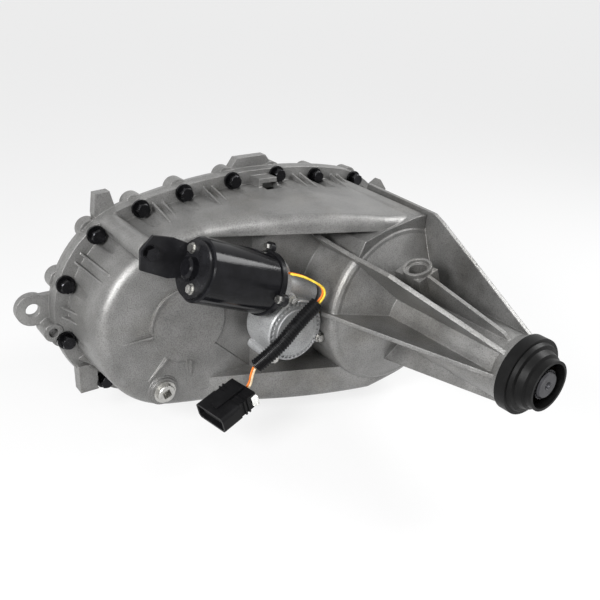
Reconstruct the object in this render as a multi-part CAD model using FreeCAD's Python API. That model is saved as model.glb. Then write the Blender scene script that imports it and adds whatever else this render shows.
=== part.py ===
"""Two-speed, electrically shifted transfer case with a chain-driven front output.

Millimetres. +X runs along the shafts toward the rear output, +Z is up, and the front
output shaft lies at -Y. The origin is the centre of the face that bolts to the
transmission. Angles around a shaft are counted from +Y toward +Z.
"""
import FreeCAD
import Part
import math
import os

V = FreeCAD.Vector

# ---- driving dimensions: shafts and case --------------------------------------------
SHAFT_CENTRES = 246.0        # main shaft to front output shaft
SPLIT_X = 112.0              # joint face between the two case halves
FLANGE_T = 10.0              # thickness of each half's joint flange
CASE_WALL = 6.0
FRONT_END_R = 127.0          # joint flange round the front output shaft
MAIN_END_R = 136.0           # joint flange round the main shaft
FLANK_R = 700.0              # long arcs that join the two ends of the flange
WALL_INSET = 17.0            # from the flange edge in to the case wall
WALL_DRAFT = 8.0             # how far the wall leans in by the back of the case

DOME_BACK_X = 205.0          # flat back of the front-output dome
RIDGE_BACK_X = 285.0         # back of the ridge where it meets the main drum
RIDGE_LOW_Y = -225.0         # the ridge rises from here ...
RIDGE_HIGH_Y = -30.0         # ... to here
SHOULDER_R = 12.0
POCKET_TOP_Z = 101.0         # recess between the ridges, where the shift motor sits
POCKET_LOW_Z = -78.0
POCKET_FLOOR_X = 222.0       # recess floor beside the drum
POCKET_STEP_Y = (-163.0, -155.0)

DRUM_R = 104.0
DRUM_BACK_X = 290.0
DRUM_BACK_R = 94.0
DRUM_EDGE_R = 10.0
NECK_R = 39.0                # slim tube of the tail housing
NECK_X = 316.0               # where the drum's back meets the tube
NECK_BORE_R = 31.5
TAIL_X = 488.0               # end face of the tail housing
TAIL_R = 41.5
TAIL_SEAT_R = 30.0           # bore that holds the bush
FIN_T = 5.0

# ---- driving dimensions: fasteners --------------------------------------------------
BOLT_INSET = 9.0             # bolt circle in from the flange edge
BOLT_R = 5.0
BOLT_HEAD_R = 10.6
BOLT_HEX_R = 8.1
BOLT_HEAD_H = 12.0
BOLT_WASHER_H = 3.0
BOLT_GRIP = 24.0
FRONT_BOLT_ANGLES = (98, 127, 159, 193, 231, 262)
MAIN_BOLT_ANGLES = (96, 64, 35, 6, -24, -54, -85)
FLANK_BOLT_Y = (-207, -141, -75)
DOWEL_R = 5.0
FIT = 0.05                   # radial running clearance
GAP = 0.3                    # clearance between curved faces of different pieces

# ---- driving dimensions: front half -------------------------------------------------
FACE_R = 95.0                # round flange that bolts to the transmission
FACE_T = 12.0
FACE_BOLTS = 6
FACE_PCD = 172.0
FACE_HOLE_R = 5.5
GEARBOX_R = 98.0             # outside of the planetary housing
FRONT_WALL_X = 58.0          # front of the chain housing
FRONT_BOSS_X = 26.0          # front face of the front-output boss
FRONT_BOSS_R = 54.0
BOSS_PLACE = (-374.0, -14.0)  # open boss beside the ear
BOSS_R = 11.0
BOSS_HOLE_R = 5.5
BOSS_DEPTH = 18.0
EAR_PLACE = (-389.0, 10.0)
EAR_R = 19.0
EAR_HOLE_R = 8.0

# ---- driving dimensions: shafts and gears -------------------------------------------
SUN_TEETH = 38
RING_TEETH = 62
PLANET_TEETH = (RING_TEETH - SUN_TEETH) // 2
PLANETS = 4
GEAR_MODULE = 2.13
GEAR_X = (48.0, 72.0)
RING_GEAR_R = 80.0
SPROCKET_TEETH = 40
CHAIN_LINKS = 92
CHAIN_PITCH = 2 * SHAFT_CENTRES / (CHAIN_LINKS - SPROCKET_TEETH)
SPROCKET_R = CHAIN_PITCH * SPROCKET_TEETH / (2 * math.pi)
SPROCKET_TIP_R = SPROCKET_R - 1.6
CHAIN_X = (131.0, 165.0)
BEARING_R = 45.0
BEARING_BORE_R = 25.0
BEARING_W = 20.0
INPUT_BEARING_X = 16.0
REAR_BEARING_X = 262.0
FRONT_BEARING_X = 40.0
NEEDLE_X = 180.0
NEEDLE_R = 24.0
STUB_R = 17.0                # both shafts' small ends
SHAFT_R = 22.0
TAIL_SHAFT_R = 16.65
TAIL_SHAFT_X = 512.0
SPLINE_START_X = 440.0
TONE_X = (331.0, 345.0)
PILOT_R = 14.0
INPUT_SEAL_R = 38.0
CUP_X = (166.0, 204.0)
PLATE_PITCH = 4.6
PUMP_X = (210.0, 222.0)
COIL_X = (228.0, REAR_BEARING_X - 14)
YOKE_X = (-22.0, 39.8)
YOKE_PCD = 80.0
YOKE_HOLE_R = 5.5
PLUG_SQUARE = 9.5
FILL_SEAT_X = 52.0
FILL_PLACE = (-128.0, -52.0)
VENT_PLACE = (80.0, -100.0)
MAGNET_PLACE = (-123.0, -80.0)
PLUG_SEAT_X = 209.0
PLUG_PLACE = (-281.7, -76.0)
SENSOR_ANGLE = 110.0         # speed-sensor boss round the tail tube
SENSOR_TOP_R = 80.0
SENSOR_X = 339.0

# ---- driving dimensions: shift system -----------------------------------------------
SHIFT_Y = -141.0             # shift shaft, between the two strands of chain
SHIFT_Z = -8.2
SHIFT_R = 8.0
RAIL_Y = -95.0
RAIL_Z = -32.0
RAIL_R = 8.0
RAIL_END_X = 208.0
RANGE_COLLAR_X = (86.0, 100.0)
MODE_COLLAR_X = (113.0, 125.0)
GROOVE_W = 6.2
SHIFT_FRONT_X = 72.0
SHIFT_SWEEP = 90.0
RANGE_TRAVEL = 9.0
MODE_TRAVEL = 4.5
CAM_X = (84.0, 129.0)
CAM_R = 30.0
CAM_STEPS = 9
PIN_R = 3.0
CAM_FIT = 1.2                # room for a pin in the stepped groove

# ---- driving dimensions: shift motor ------------------------------------------------
MOTOR_X = 245.0              # plane of the motor's own shaft
MOTOR_SEAT = (-174.9, 51.4)  # where the can meets its flange
MOTOR_LEAN = -21.7           # slope of the motor's shaft across the case
CAN_R = 35.5
MOTOR_BOSS_R = 12.0
CAN_LENGTH = 90.0
MOTOR_END = (MOTOR_SEAT[0] - CAN_LENGTH * math.cos(math.radians(MOTOR_LEAN)),
             MOTOR_SEAT[1] - CAN_LENGTH * math.sin(math.radians(MOTOR_LEAN)))
BRACKET_PLACE = (-299.0, 104.0)
BRACKET_X = 222.0
BRACKET_T = 4.0
CHAMBER_R = 38.0
CHAMBER_X = (POCKET_FLOOR_X, 264.0)
COVER_T = 4.0
COVER_R = 36.5
COVER_EARS = (-27.0, 98.0, 223.0)
COVER_EAR_R = 41.0           # screw circle of the cover
COVER_EAR_BOSS_R = 6.5
COVER_SLOTS = 36
ARMATURE_R = 4.5
WORM_R = 8.0
BRACKET_SCREWS = ((22.0, 61.0), (22.0, 241.0))
FLANGE_EARS = (75.0, 187.0)

# ---- driving dimensions: harness ----------------------------------------------------
LOOM_R = 8.8
WIRE_R = 1.3
WIRE_SPREAD = 3.6            # spacing of the two wires of a pair
LOOM_ROUTE = [(281, -122, 27.5), (280, -146, 10), (278.6, -172, -17.5), (270, -197, -38.5)]
MOTOR_WIRE_ROUTE = [(269.5, -155, 67.5), (275.5, -146, 66), (277.5, -136, 61),
                    (280.3, -120, 50.8), (281.2, -113, 43), (281.3, -114, 33.6),
                    (281, -121.2, 28.1)]
PLUG_WIRE_ROUTE = [(269.6, -198.1, -39.5), (268.6, -201.2, -48.4), (268.4, -202.6, -61),
                   (270, -210.5, -66)]
CONNECTOR_BACK = (270.1, -210.9, -66.1)
CONNECTOR_TILT = -164.0      # about X, then the yaw about Z
CONNECTOR_YAW = 9.5
CONNECTOR_SIZE = (52.0, 46.0, 21.0)


# ---- small helpers ------------------------------------------------------------------
def rod(x0, x1, r, y=0.0, z=0.0):
    return Part.makeCylinder(r, x1 - x0, V(x0, y, z), V(1, 0, 0))


def ring(x0, x1, r_out, r_in, y=0.0, z=0.0):
    return rod(x0, x1, r_out, y, z).cut(rod(x0 - 1, x1 + 1, r_in, y, z))


def box(x0, x1, y0, y1, z0, z1):
    return Part.makeBox(x1 - x0, y1 - y0, z1 - z0, V(x0, y0, z0))


def turned(profile, y=0.0, z=0.0):
    """Revolve a closed outline of (x, radius) points about the shaft line at y, z."""
    points = [V(x, y, z + r) for x, r in profile]
    face = Part.Face(Part.makePolygon(points + points[:1]))
    return face.revolve(V(0, y, z), V(1, 0, 0), 360)


def plate_yz(points, x0, x1):
    """A flat plate across the shafts: an outline of (y, z) points from x0 to x1."""
    corners = [V(x0, y, z) for y, z in points]
    return Part.Face(Part.makePolygon(corners + corners[:1])).extrude(V(x1 - x0, 0, 0))


def plate_xy(points, z0, z1):
    corners = [V(x, y, z0) for x, y in points]
    return Part.Face(Part.makePolygon(corners + corners[:1])).extrude(V(0, 0, z1 - z0))


def joined(first, *others):
    return first.multiFuse(list(others)) if others else first


def polar(r, degrees, y=0.0, z=0.0):
    a = math.radians(degrees)
    return y + r * math.cos(a), z + r * math.sin(a)


def turn(shape, degrees, y=0.0, z=0.0):
    copy = shape.copy()
    copy.rotate(V(0, y, z), V(1, 0, 0), degrees)
    return copy


def hexagon(x0, x1, r, y, z, start=0.0):
    return plate_yz([polar(r, start + 60 * i, y, z) for i in range(6)], x0, x1)


# ---- the case outline ---------------------------------------------------------------
def flank_centre(front_r, main_r, side):
    """Centre of the long arc that touches both end circles; side is +1 top, -1 foot."""
    to_front = FLANK_R - front_r
    to_main = FLANK_R - main_r
    y = (to_front ** 2 - to_main ** 2 - SHAFT_CENTRES ** 2) / (2 * SHAFT_CENTRES)
    return y, -side * math.sqrt(to_main ** 2 - y ** 2)


def case_outline(x, inset):
    """Closed wire round both shafts, inset from the joint flange's edge."""
    front_r = FRONT_END_R - inset
    main_r = MAIN_END_R - inset
    touch = {}
    middle = {}
    for side in (1, -1):
        cy, cz = flank_centre(front_r, main_r, side)
        for name, centre_y, r in (("front", -SHAFT_CENTRES, front_r), ("main", 0.0, main_r)):
            away = V(0, centre_y - cy, -cz).normalize()
            touch[name, side] = V(x, centre_y, 0) + away * r
        middle[side] = V(x, cy, cz + side * FLANK_R)
    front = Part.Arc(touch["front", 1], V(x, -SHAFT_CENTRES - front_r, 0), touch["front", -1])
    main = Part.Arc(touch["main", -1], V(x, main_r, 0), touch["main", 1])
    foot = Part.Arc(touch["front", -1], middle[-1], touch["main", -1])
    top = Part.Arc(touch["main", 1], middle[1], touch["front", 1])
    return Part.Wire([arc.toShape() for arc in (front, foot, main, top)])


def case_slab(x0, x1, inset0, inset1):
    """The case outline as a solid between two stations, with its draft."""
    return Part.makeLoft([case_outline(x0, inset0), case_outline(x1, inset1)], True, True)


def flank_z(y, inset, side):
    front_r = FRONT_END_R - inset
    main_r = MAIN_END_R - inset
    cy, cz = flank_centre(front_r, main_r, side)
    return cz + side * math.sqrt(FLANK_R ** 2 - (y - cy) ** 2)


def case_bolt_places():
    places = [polar(FRONT_END_R - BOLT_INSET, a, -SHAFT_CENTRES) for a in FRONT_BOLT_ANGLES]
    places += [polar(MAIN_END_R - BOLT_INSET, a) for a in MAIN_BOLT_ANGLES]
    for y in FLANK_BOLT_Y:
        places.append((y, flank_z(y, BOLT_INSET, 1)))
        places.append((y, flank_z(y, BOLT_INSET, -1)))
    return places


def dowel_places():
    return [polar(FRONT_END_R - BOLT_INSET, 212, -SHAFT_CENTRES),
            polar(MAIN_END_R - BOLT_INSET, 20)]


def ridge_cutter(offset):
    """Everything behind the back of the rear half, shifted forward by offset."""
    low = DOME_BACK_X - offset
    high = RIDGE_BACK_X - offset
    reach = 2 * SHAFT_CENTRES
    outline = [(low, -reach), (low, RIDGE_LOW_Y), (high, RIDGE_HIGH_Y), (high, reach)]
    outline += [(2 * TAIL_X, reach), (2 * TAIL_X, -reach)]
    return plate_xy(outline, -reach, reach)


def pocket(offset):
    """Recess between the ridges, grown by offset on every side."""
    low = DOME_BACK_X - offset
    floor = POCKET_FLOOR_X - offset
    start = RIDGE_LOW_Y - offset
    step_low, step_high = POCKET_STEP_Y
    outline = [(low, start), (low, step_low), (floor, step_high), (floor, DRUM_R / 2)]
    outline += [(TAIL_X, DRUM_R / 2), (TAIL_X, start)]
    return plate_xy(outline, POCKET_LOW_Z - offset, POCKET_TOP_Z + offset)


def rear_body():
    """Outer form of the rear half's chain housing, with its rounded shoulder."""
    body = case_slab(SPLIT_X + 1, RIDGE_BACK_X + 10, WALL_INSET, WALL_INSET + WALL_DRAFT)
    body = body.cut(ridge_cutter(0))
    shoulder = [e for e in body.Edges if e.BoundBox.XMin > DOME_BACK_X - 1]
    shoulder = [e for e in shoulder if e.BoundBox.ZLength > SHOULDER_R or
                abs(e.BoundBox.ZMin) > POCKET_TOP_Z]
    body = body.makeFillet(SHOULDER_R, shoulder)
    return body.cut(pocket(0))


def rear_cavity():
    inset = WALL_INSET + CASE_WALL
    body = case_slab(SPLIT_X - 1, RIDGE_BACK_X + 10, inset, inset + WALL_DRAFT)
    body = body.cut(ridge_cutter(CASE_WALL))
    return body.cut(pocket(CASE_WALL))




def main_drum():
    """Main drum with its rounded back edge and the slim tube behind it."""
    edge = DRUM_BACK_X - DRUM_EDGE_R
    profile = [(SPLIT_X + 1, 0), (SPLIT_X + 1, DRUM_R)]
    for step in range(5):
        lean = math.radians(22.5 * step)
        profile.append((edge + DRUM_EDGE_R * math.sin(lean),
                        DRUM_R - DRUM_EDGE_R * (1 - math.cos(lean))))
    profile += [(NECK_X, NECK_R), (TAIL_X - 20, NECK_R - 1), (TAIL_X - 10, TAIL_R),
                (TAIL_X, TAIL_R), (TAIL_X, 0)]
    return turned(profile)


def drum_cavity():
    inner = DRUM_R - CASE_WALL
    hub_r = BEARING_R + 9
    back = DRUM_BACK_X - CASE_WALL
    hollow = turned([(SPLIT_X - 1, 0), (SPLIT_X - 1, inner), (back - 12, inner),
                     (back, DRUM_BACK_R - CASE_WALL), (NECK_X - 18, hub_r),
                     (REAR_BEARING_X - 14, hub_r), (REAR_BEARING_X - 14, 0)])
    seat = rod(REAR_BEARING_X - 15, REAR_BEARING_X + BEARING_W, BEARING_R + FIT)
    step = rod(REAR_BEARING_X, NECK_X - 10, BEARING_R - 7)
    bore = rod(NECK_X - 11, TAIL_X - 30, NECK_BORE_R)
    tail = rod(TAIL_X - 31, TAIL_X + 1, TAIL_SEAT_R)
    return hollow.fuse([seat, step, bore, tail])


def fin(outline, angle, thickness=FIN_T):
    """A radial web on the tail housing from (x, radius) points, at an angle."""
    points = [V(x, r, -thickness / 2) for x, r in outline]
    web = Part.Face(Part.makePolygon(points + points[:1])).extrude(V(0, 0, thickness))
    return turn(web, angle)


def tail_fins():
    root_r = NECK_R - 5
    end = TAIL_X - 14
    side = [(262, root_r), (262, 102), (276, 111), (end, TAIL_R - 1), (end, root_r)]
    upper = [(226, 90), (226, 128), (281, 114), (346, 109), (end, TAIL_R - 1),
             (end, root_r), (300, root_r)]
    lower = [(296, root_r), (296, 69), (end, TAIL_R - 1), (end, root_r)]
    sensor = [(SENSOR_X, root_r), (SENSOR_X, 79), (460, 45), (470, root_r)]
    fins = [fin(side, 175), fin(upper, 135), fin(lower, 250), fin(sensor, SENSOR_ANGLE, 4)]
    fins += [fin(side, 5), fin(lower, 310)]
    top = [V(124, 0, 60), V(124, 0, 117), V(300, 0, 117), V(316, 0, 111),
           V(end, 0, TAIL_R - 5), V(end, 0, 20), V(300, 0, 20)]
    web = Part.Face(Part.makePolygon(top + top[:1])).extrude(V(0, FIN_T, 0))
    web.rotate(V(297, 0, 0), V(0, 0, 1), -7.0)
    web.translate(V(0, 33, 0))
    fins.append(web)
    return fins


def sensor_boss():
    boss = Part.makeCylinder(17, SENSOR_TOP_R - 30, V(SENSOR_X, 30, 0), V(0, 1, 0))
    foot = box(SENSOR_X - 22, SENSOR_X + 17, 30, SENSOR_TOP_R - 6, -15, 15)
    return turn(boss.fuse(foot), SENSOR_ANGLE)


def sensor_port():
    hole = Part.makeCylinder(10.5, 60, V(SENSOR_X, 25, 0), V(0, 1, 0))
    mouth = Part.makeCylinder(13.5, 5, V(SENSOR_X, SENSOR_TOP_R - 4, 0), V(0, 1, 0))
    return turn(hole.fuse(mouth), SENSOR_ANGLE)


def rear_wall_webs():
    """Pairs of thin webs from the joint flange up the wall, between the bolts."""
    foot = SPLIT_X + FLANGE_T - 1
    webs = []

    def web(y, z, angle, reach, spread):
        profile = [V(foot, -9, 0), V(foot, 7, 0), V(foot + reach, -3, 0),
                   V(foot + reach, -9, 0)]
        blade = Part.Face(Part.makePolygon(profile + profile[:1])).extrude(V(0, 0, 2.6))
        blade.translate(V(0, 0, spread - 1.3))
        blade.rotate(V(0, 0, 0), V(1, 0, 0), angle)
        blade.translate(V(0, y, z))
        webs.append(blade)

    wall = WALL_INSET
    for angle, reach in ((212, 34), (176, 30), (143, 62), (20, 40), (-9, 40), (-39, 40),
                         (-70, 40), (50, 44), (80, 44)):
        main = angle < 100
        r = (MAIN_END_R if main else FRONT_END_R) - wall
        y, z = polar(r, angle, 0 if main else -SHAFT_CENTRES)
        for spread in (-6, 6):
            web(y, z, angle, reach, spread)
    for y in (-174, -240):
        z = flank_z(y, wall, 1)
        for spread in (-6, 6):
            web(y, z, 90, 44, spread)
    for y in (-174, -108, -42):
        z = flank_z(y, wall, -1)
        for spread in (-6, 6):
            web(y, z, 270, 40, spread)
    y = -42
    for spread in (-6, 6):
        web(y, flank_z(y, wall, 1), 90, 44, spread)
    return webs


def dome_details():
    """Disc, rim, radial ribs and the drain boss on the front-output dome."""
    y = -SHAFT_CENTRES
    disc = rod(DOME_BACK_X - 4, DOME_BACK_X + 1.9, 46.3, y, 0)
    rim = ring(DOME_BACK_X - 2, DOME_BACK_X + 3.2, 49.5, 46.3, y, 0)
    sector = [(y, 0)] + [polar(70, a, y) for a in (95, 125, 150, 178)]
    rim = rim.common(plate_yz(sector, DOME_BACK_X - 3, DOME_BACK_X + 5))
    ribs = []
    for angle in (184, 229, 270):
        blade = [V(DOME_BACK_X - 1, 46, -1.4), V(DOME_BACK_X + 4.5, 46, -1.4),
                 V(DOME_BACK_X + 0.4, 80, -1.4), V(DOME_BACK_X - 1, 80, -1.4)]
        rib = Part.Face(Part.makePolygon(blade + blade[:1])).extrude(V(0, 0, 2.8))
        rib.rotate(V(0, 0, 0), V(1, 0, 0), angle)
        rib.translate(V(0, y, 0))
        ribs.append(rib)
    boss = turned([(150, 0), (150, 18.5), (PLUG_SEAT_X - 3, 18.5), (PLUG_SEAT_X - 3, 16.5),
                   (PLUG_SEAT_X, 16.5), (PLUG_SEAT_X, 0)], *PLUG_PLACE)
    return [disc, rim, boss] + ribs


def roof_wedge():
    """Sloping roof between the chain housing and the upright web over the drum."""
    sections = []
    for x, rise in ((SPLIT_X + FLANGE_T - 1, 6.0), (DRUM_BACK_X - 2, 0.0)):
        points = [(-78, 60), (-62, 94), (-30, 103 + rise), (20, 112 + rise),
                  (33, 112 + rise), (33, 60)]
        ring_points = [V(x, y, z) for y, z in points]
        sections.append(Part.makePolygon(ring_points + ring_points[:1]))
    return Part.makeLoft(sections, True, True)


def dome_pad():
    """Raised facet below the disc, beside the pocket."""
    x = DOME_BACK_X
    return plate_yz([(-212, -33), (-162, -80), (-166, -90), (-234, -91), (-249, -79),
                     (-252, -47)], x - 4, x + 1.6)


def rear_outer_lugs():
    foot = SPLIT_X + FLANGE_T - 1
    tube = rod(foot, BRACKET_X, 12, *BRACKET_PLACE)
    window = box(foot, foot + 19, -112, -80, 112, 137)
    block = box(SPLIT_X, foot + 9, -352, -316, -98, -62)
    small = rod(SPLIT_X, foot + 2, BOSS_R, *BOSS_PLACE)
    return [tube, window, block, small]


def rear_outer_cuts():
    foot = SPLIT_X + FLANGE_T - 1
    window = box(foot + 8, foot + 30, -107, -85, 119, 131)
    slot = box(foot, foot + 12, -330, -322, -88, -64)
    thread = rod(BRACKET_X - 22, BRACKET_X + 1, 4, *BRACKET_PLACE)
    small = rod(SPLIT_X - 1, foot + 4, BOSS_HOLE_R, *BOSS_PLACE)
    plug = rod(150, PLUG_SEAT_X + 1, 9.5 + FIT, *PLUG_PLACE)
    cuts = [window, slot, thread, small, plug]
    for place in case_bolt_places():
        cuts.append(rod(foot + 1, foot + 40, BOLT_HEAD_R + 2 * GAP, *place))
    for place in dowel_places():
        cuts.append(rod(SPLIT_X - 1, SPLIT_X + 8, DOWEL_R + FIT, *place))
    cuts.append(rod(POCKET_FLOOR_X, CHAMBER_X[1] + 9, CHAMBER_R + GAP, SHIFT_Y, SHIFT_Z))
    for angle in COVER_EARS:
        place = polar(COVER_EAR_R, angle, SHIFT_Y, SHIFT_Z)
        cuts.append(rod(POCKET_FLOOR_X, CHAMBER_X[1] + 9, COVER_EAR_BOSS_R + 1, *place))
    return cuts


def rear_case():
    flange = case_slab(SPLIT_X, SPLIT_X + FLANGE_T, 0, 1.5)
    case = joined(flange, rear_body(), main_drum(), sensor_boss(), *tail_fins(),
                  *rear_wall_webs(), *dome_details(), *rear_outer_lugs(), roof_wedge(),
                  dome_pad())
    case = case.cut(rear_cavity().fuse(drum_cavity()))
    y = -SHAFT_CENTRES
    inner = [ring(NEEDLE_X, DOME_BACK_X - CASE_WALL + 1, NEEDLE_R + 8, NEEDLE_R + FIT, y, 0),
             ring(POCKET_FLOOR_X - 26, POCKET_FLOOR_X - 2, 16, SHIFT_R + FIT, SHIFT_Y, SHIFT_Z),
             ring(RAIL_END_X - 12, POCKET_FLOOR_X - 4, 13, RAIL_R + FIT, RAIL_Y, RAIL_Z)]
    case = joined(case, *inner)
    holes = [rod(SPLIT_X - 1, SPLIT_X + FLANGE_T + 2, BOLT_R + 0.4, *p)
             for p in case_bolt_places()]
    holes += rear_outer_cuts()
    holes.append(rod(POCKET_FLOOR_X - 30, POCKET_FLOOR_X + 1, SHIFT_R + FIT, SHIFT_Y, SHIFT_Z))
    holes.append(sensor_port())
    return case.cut(joined(holes[0], *holes[1:]))


# ---- front half ---------------------------------------------------------------------
def rim_tab(place, lean, widths, height):
    """Tapered tab standing up from the joint flange, leaning about X."""
    foot, tip = (width / 2 for width in widths)
    root = -MAIN_END_R / 8
    tab = plate_yz([(-foot, root), (foot, root), (foot, 0), (tip, height), (-tip, height),
                    (-foot, 0)], SPLIT_X - FLANGE_T - 4, SPLIT_X - 2)
    tab.rotate(V(0, 0, 0), V(1, 0, 0), lean)
    tab.translate(V(0, *place))
    return tab


def front_case():
    y = -SHAFT_CENTRES
    flange = case_slab(SPLIT_X - FLANGE_T, SPLIT_X, 1.5, 0)
    wall = case_slab(FRONT_WALL_X, SPLIT_X - 1, WALL_INSET + WALL_DRAFT, WALL_INSET)
    face = rod(0, FACE_T, FACE_R)
    drum = rod(FACE_T - 1, FRONT_WALL_X + 4, GEARBOX_R)
    boss = rod(FRONT_BOSS_X, FRONT_WALL_X + 4, FRONT_BOSS_R, y, 0)
    outer = [wall, face, drum, boss]
    for place in case_bolt_places():
        outer.append(rod(SPLIT_X - BOLT_GRIP + FLANGE_T - 4, SPLIT_X - 1, 13.5, *place))
    for angle in range(0, 360, 45):
        rib = box(FRONT_BOSS_X + 2, FRONT_WALL_X + 2, FRONT_BOSS_R - 4, 84, -2.5, 2.5)
        blade = rib.cut(plate_xy([(FRONT_BOSS_X, 56), (FRONT_BOSS_X, 90), (52, 90)], -4, 4))
        blade.translate(V(0, y, 0))
        outer.append(turn(blade, angle, y, 0))
    top = flank_z(-105, 0, 1)
    tabs = [rim_tab(polar(FRONT_END_R, 115, y, 0), 4, (26, 17), 22),
            rim_tab((-105, top), 1, (62, 42), 13),
            rim_tab(polar(MAIN_END_R, 36), -52, (27, 20), 22)]
    ear = rod(SPLIT_X - FLANGE_T - 7, SPLIT_X - FLANGE_T + 2, EAR_R, *EAR_PLACE)
    arm = box(SPLIT_X - FLANGE_T - 7, SPLIT_X - FLANGE_T + 2, EAR_PLACE[0] + 1,
              EAR_PLACE[0] + 27, EAR_PLACE[1] - 16, EAR_PLACE[1] + 16)
    small = rod(SPLIT_X - BOSS_DEPTH, SPLIT_X, BOSS_R, *BOSS_PLACE)
    fill = rod(FILL_SEAT_X, FRONT_WALL_X + 2, 17, *FILL_PLACE)
    case = joined(flange, *outer, *tabs, ear, arm, small, fill)
    inset = WALL_INSET + CASE_WALL
    hollow = case_slab(FRONT_WALL_X + CASE_WALL, SPLIT_X + 1, inset + WALL_DRAFT, inset)
    gearbox = rod(38, FRONT_WALL_X + CASE_WALL + 1, GEARBOX_R - CASE_WALL)
    case = case.cut(hollow.fuse(gearbox))
    back = FRONT_WALL_X + CASE_WALL - 1
    hubs = [ring(GEAR_X[0] - 10.5, GEAR_X[1] + 4, RING_GEAR_R + 7, RING_GEAR_R + FIT),
            ring(GEAR_X[0] - 10.5, GEAR_X[0] - 2, RING_GEAR_R + 7, RING_GEAR_R - 9),
            ring(SHIFT_FRONT_X - 8, CAM_X[0] - GAP, 14, SHIFT_R + FIT, SHIFT_Y, SHIFT_Z),
            ring(back, CAM_X[0] + 2, 13, RAIL_R + FIT, RAIL_Y, RAIL_Z),
            ring(back, FRONT_BEARING_X + BEARING_W + 12, 52, BEARING_R + FIT, y, 0)]
    case = joined(case, *hubs)
    web = rod(36, 39, GEARBOX_R - 3).cut(rod(30, 40, BEARING_R - 6))
    case = case.fuse(web)
    cuts = [rod(-1, 15, INPUT_SEAL_R + FIT), rod(14, 60, 36),
            rod(INPUT_BEARING_X, INPUT_BEARING_X + BEARING_W, BEARING_R + FIT),
            rod(FRONT_BOSS_X - 1, 80, INPUT_SEAL_R + FIT, y, 0),
            rod(FRONT_BEARING_X, 80, BEARING_R + FIT, y, 0),
            rod(0, 200, EAR_HOLE_R, *EAR_PLACE), rod(SPLIT_X - 2 * BOSS_DEPTH, SPLIT_X + 1, BOSS_HOLE_R, *BOSS_PLACE)]
    for k in range(FACE_BOLTS):
        cuts.append(rod(-1, FACE_T + 1, FACE_HOLE_R, *polar(FACE_PCD / 2, 30 + 60 * k)))
    for place in case_bolt_places():
        cuts.append(rod(SPLIT_X - BOLT_GRIP + FLANGE_T, SPLIT_X + 1, BOLT_R + FIT, *place))
    for place in dowel_places():
        cuts.append(rod(SPLIT_X - 8, SPLIT_X + 1, DOWEL_R + FIT, *place))
    cuts.append(rod(FILL_SEAT_X - 1, 80, 9.5 + FIT, *FILL_PLACE))
    cuts.append(vent_hole())
    return case.cut(joined(cuts[0], *cuts[1:]))


def vent_root():
    y = VENT_PLACE[1]
    return flank_z(y, WALL_INSET + WALL_DRAFT, 1)


def vent_hole():
    return Part.makeCylinder(3 + FIT, 30, V(*VENT_PLACE, vent_root() - 12), V(0, 0, 1))


def vent():
    """Breather nipple pressed into the top wall, with a barb for its hose."""
    base = V(*VENT_PLACE, vent_root() - 8)
    body = Part.makeCylinder(3, 34, base, V(0, 0, 1))
    top = vent_root() + 8
    collar_ring = Part.makeCylinder(6, 3, V(*VENT_PLACE, top), V(0, 0, 1))
    barb = Part.makeCone(4.4, 3.2, 5, V(*VENT_PLACE, top + 14), V(0, 0, 1))
    bore = Part.makeCylinder(1.6, 60, base + V(0, 0, -1), V(0, 0, 1))
    return [joined(body, collar_ring, barb).cut(bore)]


# ---- fasteners and plugs ------------------------------------------------------------
def case_bolts():
    """Flange bolts: hexagon head on a round washer face."""
    seat = SPLIT_X + FLANGE_T
    bolts = []
    for n, (y, z) in enumerate(case_bolt_places()):
        thread = rod(seat - BOLT_GRIP, seat + 1, BOLT_R, y, z)
        collar = rod(seat, seat + BOLT_WASHER_H, BOLT_HEAD_R, y, z)
        head = hexagon(seat + 1, seat + BOLT_HEAD_H, BOLT_HEX_R, y, z, 13 * n)
        dome = turned([(seat, 0), (seat, 9), (seat + BOLT_HEAD_H - 2, 9),
                       (seat + BOLT_HEAD_H, 7), (seat + BOLT_HEAD_H, 0)], y, z)
        bolts.append(joined(thread, collar, head.common(dome)))
    return bolts


def drain_plug():
    y, z = PLUG_PLACE
    head = turned([(PLUG_SEAT_X, 0), (PLUG_SEAT_X, 13.5), (PLUG_SEAT_X + 2.4, 13.5),
                   (PLUG_SEAT_X + 2.4, 10.5), (PLUG_SEAT_X + 6.8, 10.5),
                   (PLUG_SEAT_X + 7.6, 9.8), (PLUG_SEAT_X + 7.6, 0)], y, z)
    plug = head.fuse(rod(PLUG_SEAT_X - 12, PLUG_SEAT_X + 1, 9.5, y, z))
    half = PLUG_SQUARE / 2
    socket = box(PLUG_SEAT_X - 3, PLUG_SEAT_X + 9, y - half, y + half, z - half, z + half)
    socket.rotate(V(0, y, z), V(1, 0, 0), 20)
    return [plug.cut(socket)]


def fill_plug():
    """Same plug as the drain, facing forward."""
    plug = drain_plug()[0].copy()
    plug.translate(V(-PLUG_SEAT_X, -PLUG_PLACE[0], -PLUG_PLACE[1]))
    plug.rotate(V(0, 0, 0), V(0, 0, 1), 180)
    plug.translate(V(FILL_SEAT_X, *FILL_PLACE))
    return [plug]


def dowel_pins():
    return [rod(SPLIT_X - 8, SPLIT_X + 8, DOWEL_R, *place) for place in dowel_places()]


def sump_magnet():
    x = FRONT_WALL_X + CASE_WALL
    return [ring(x, x + 5, 12, 4, *MAGNET_PLACE)]


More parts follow.
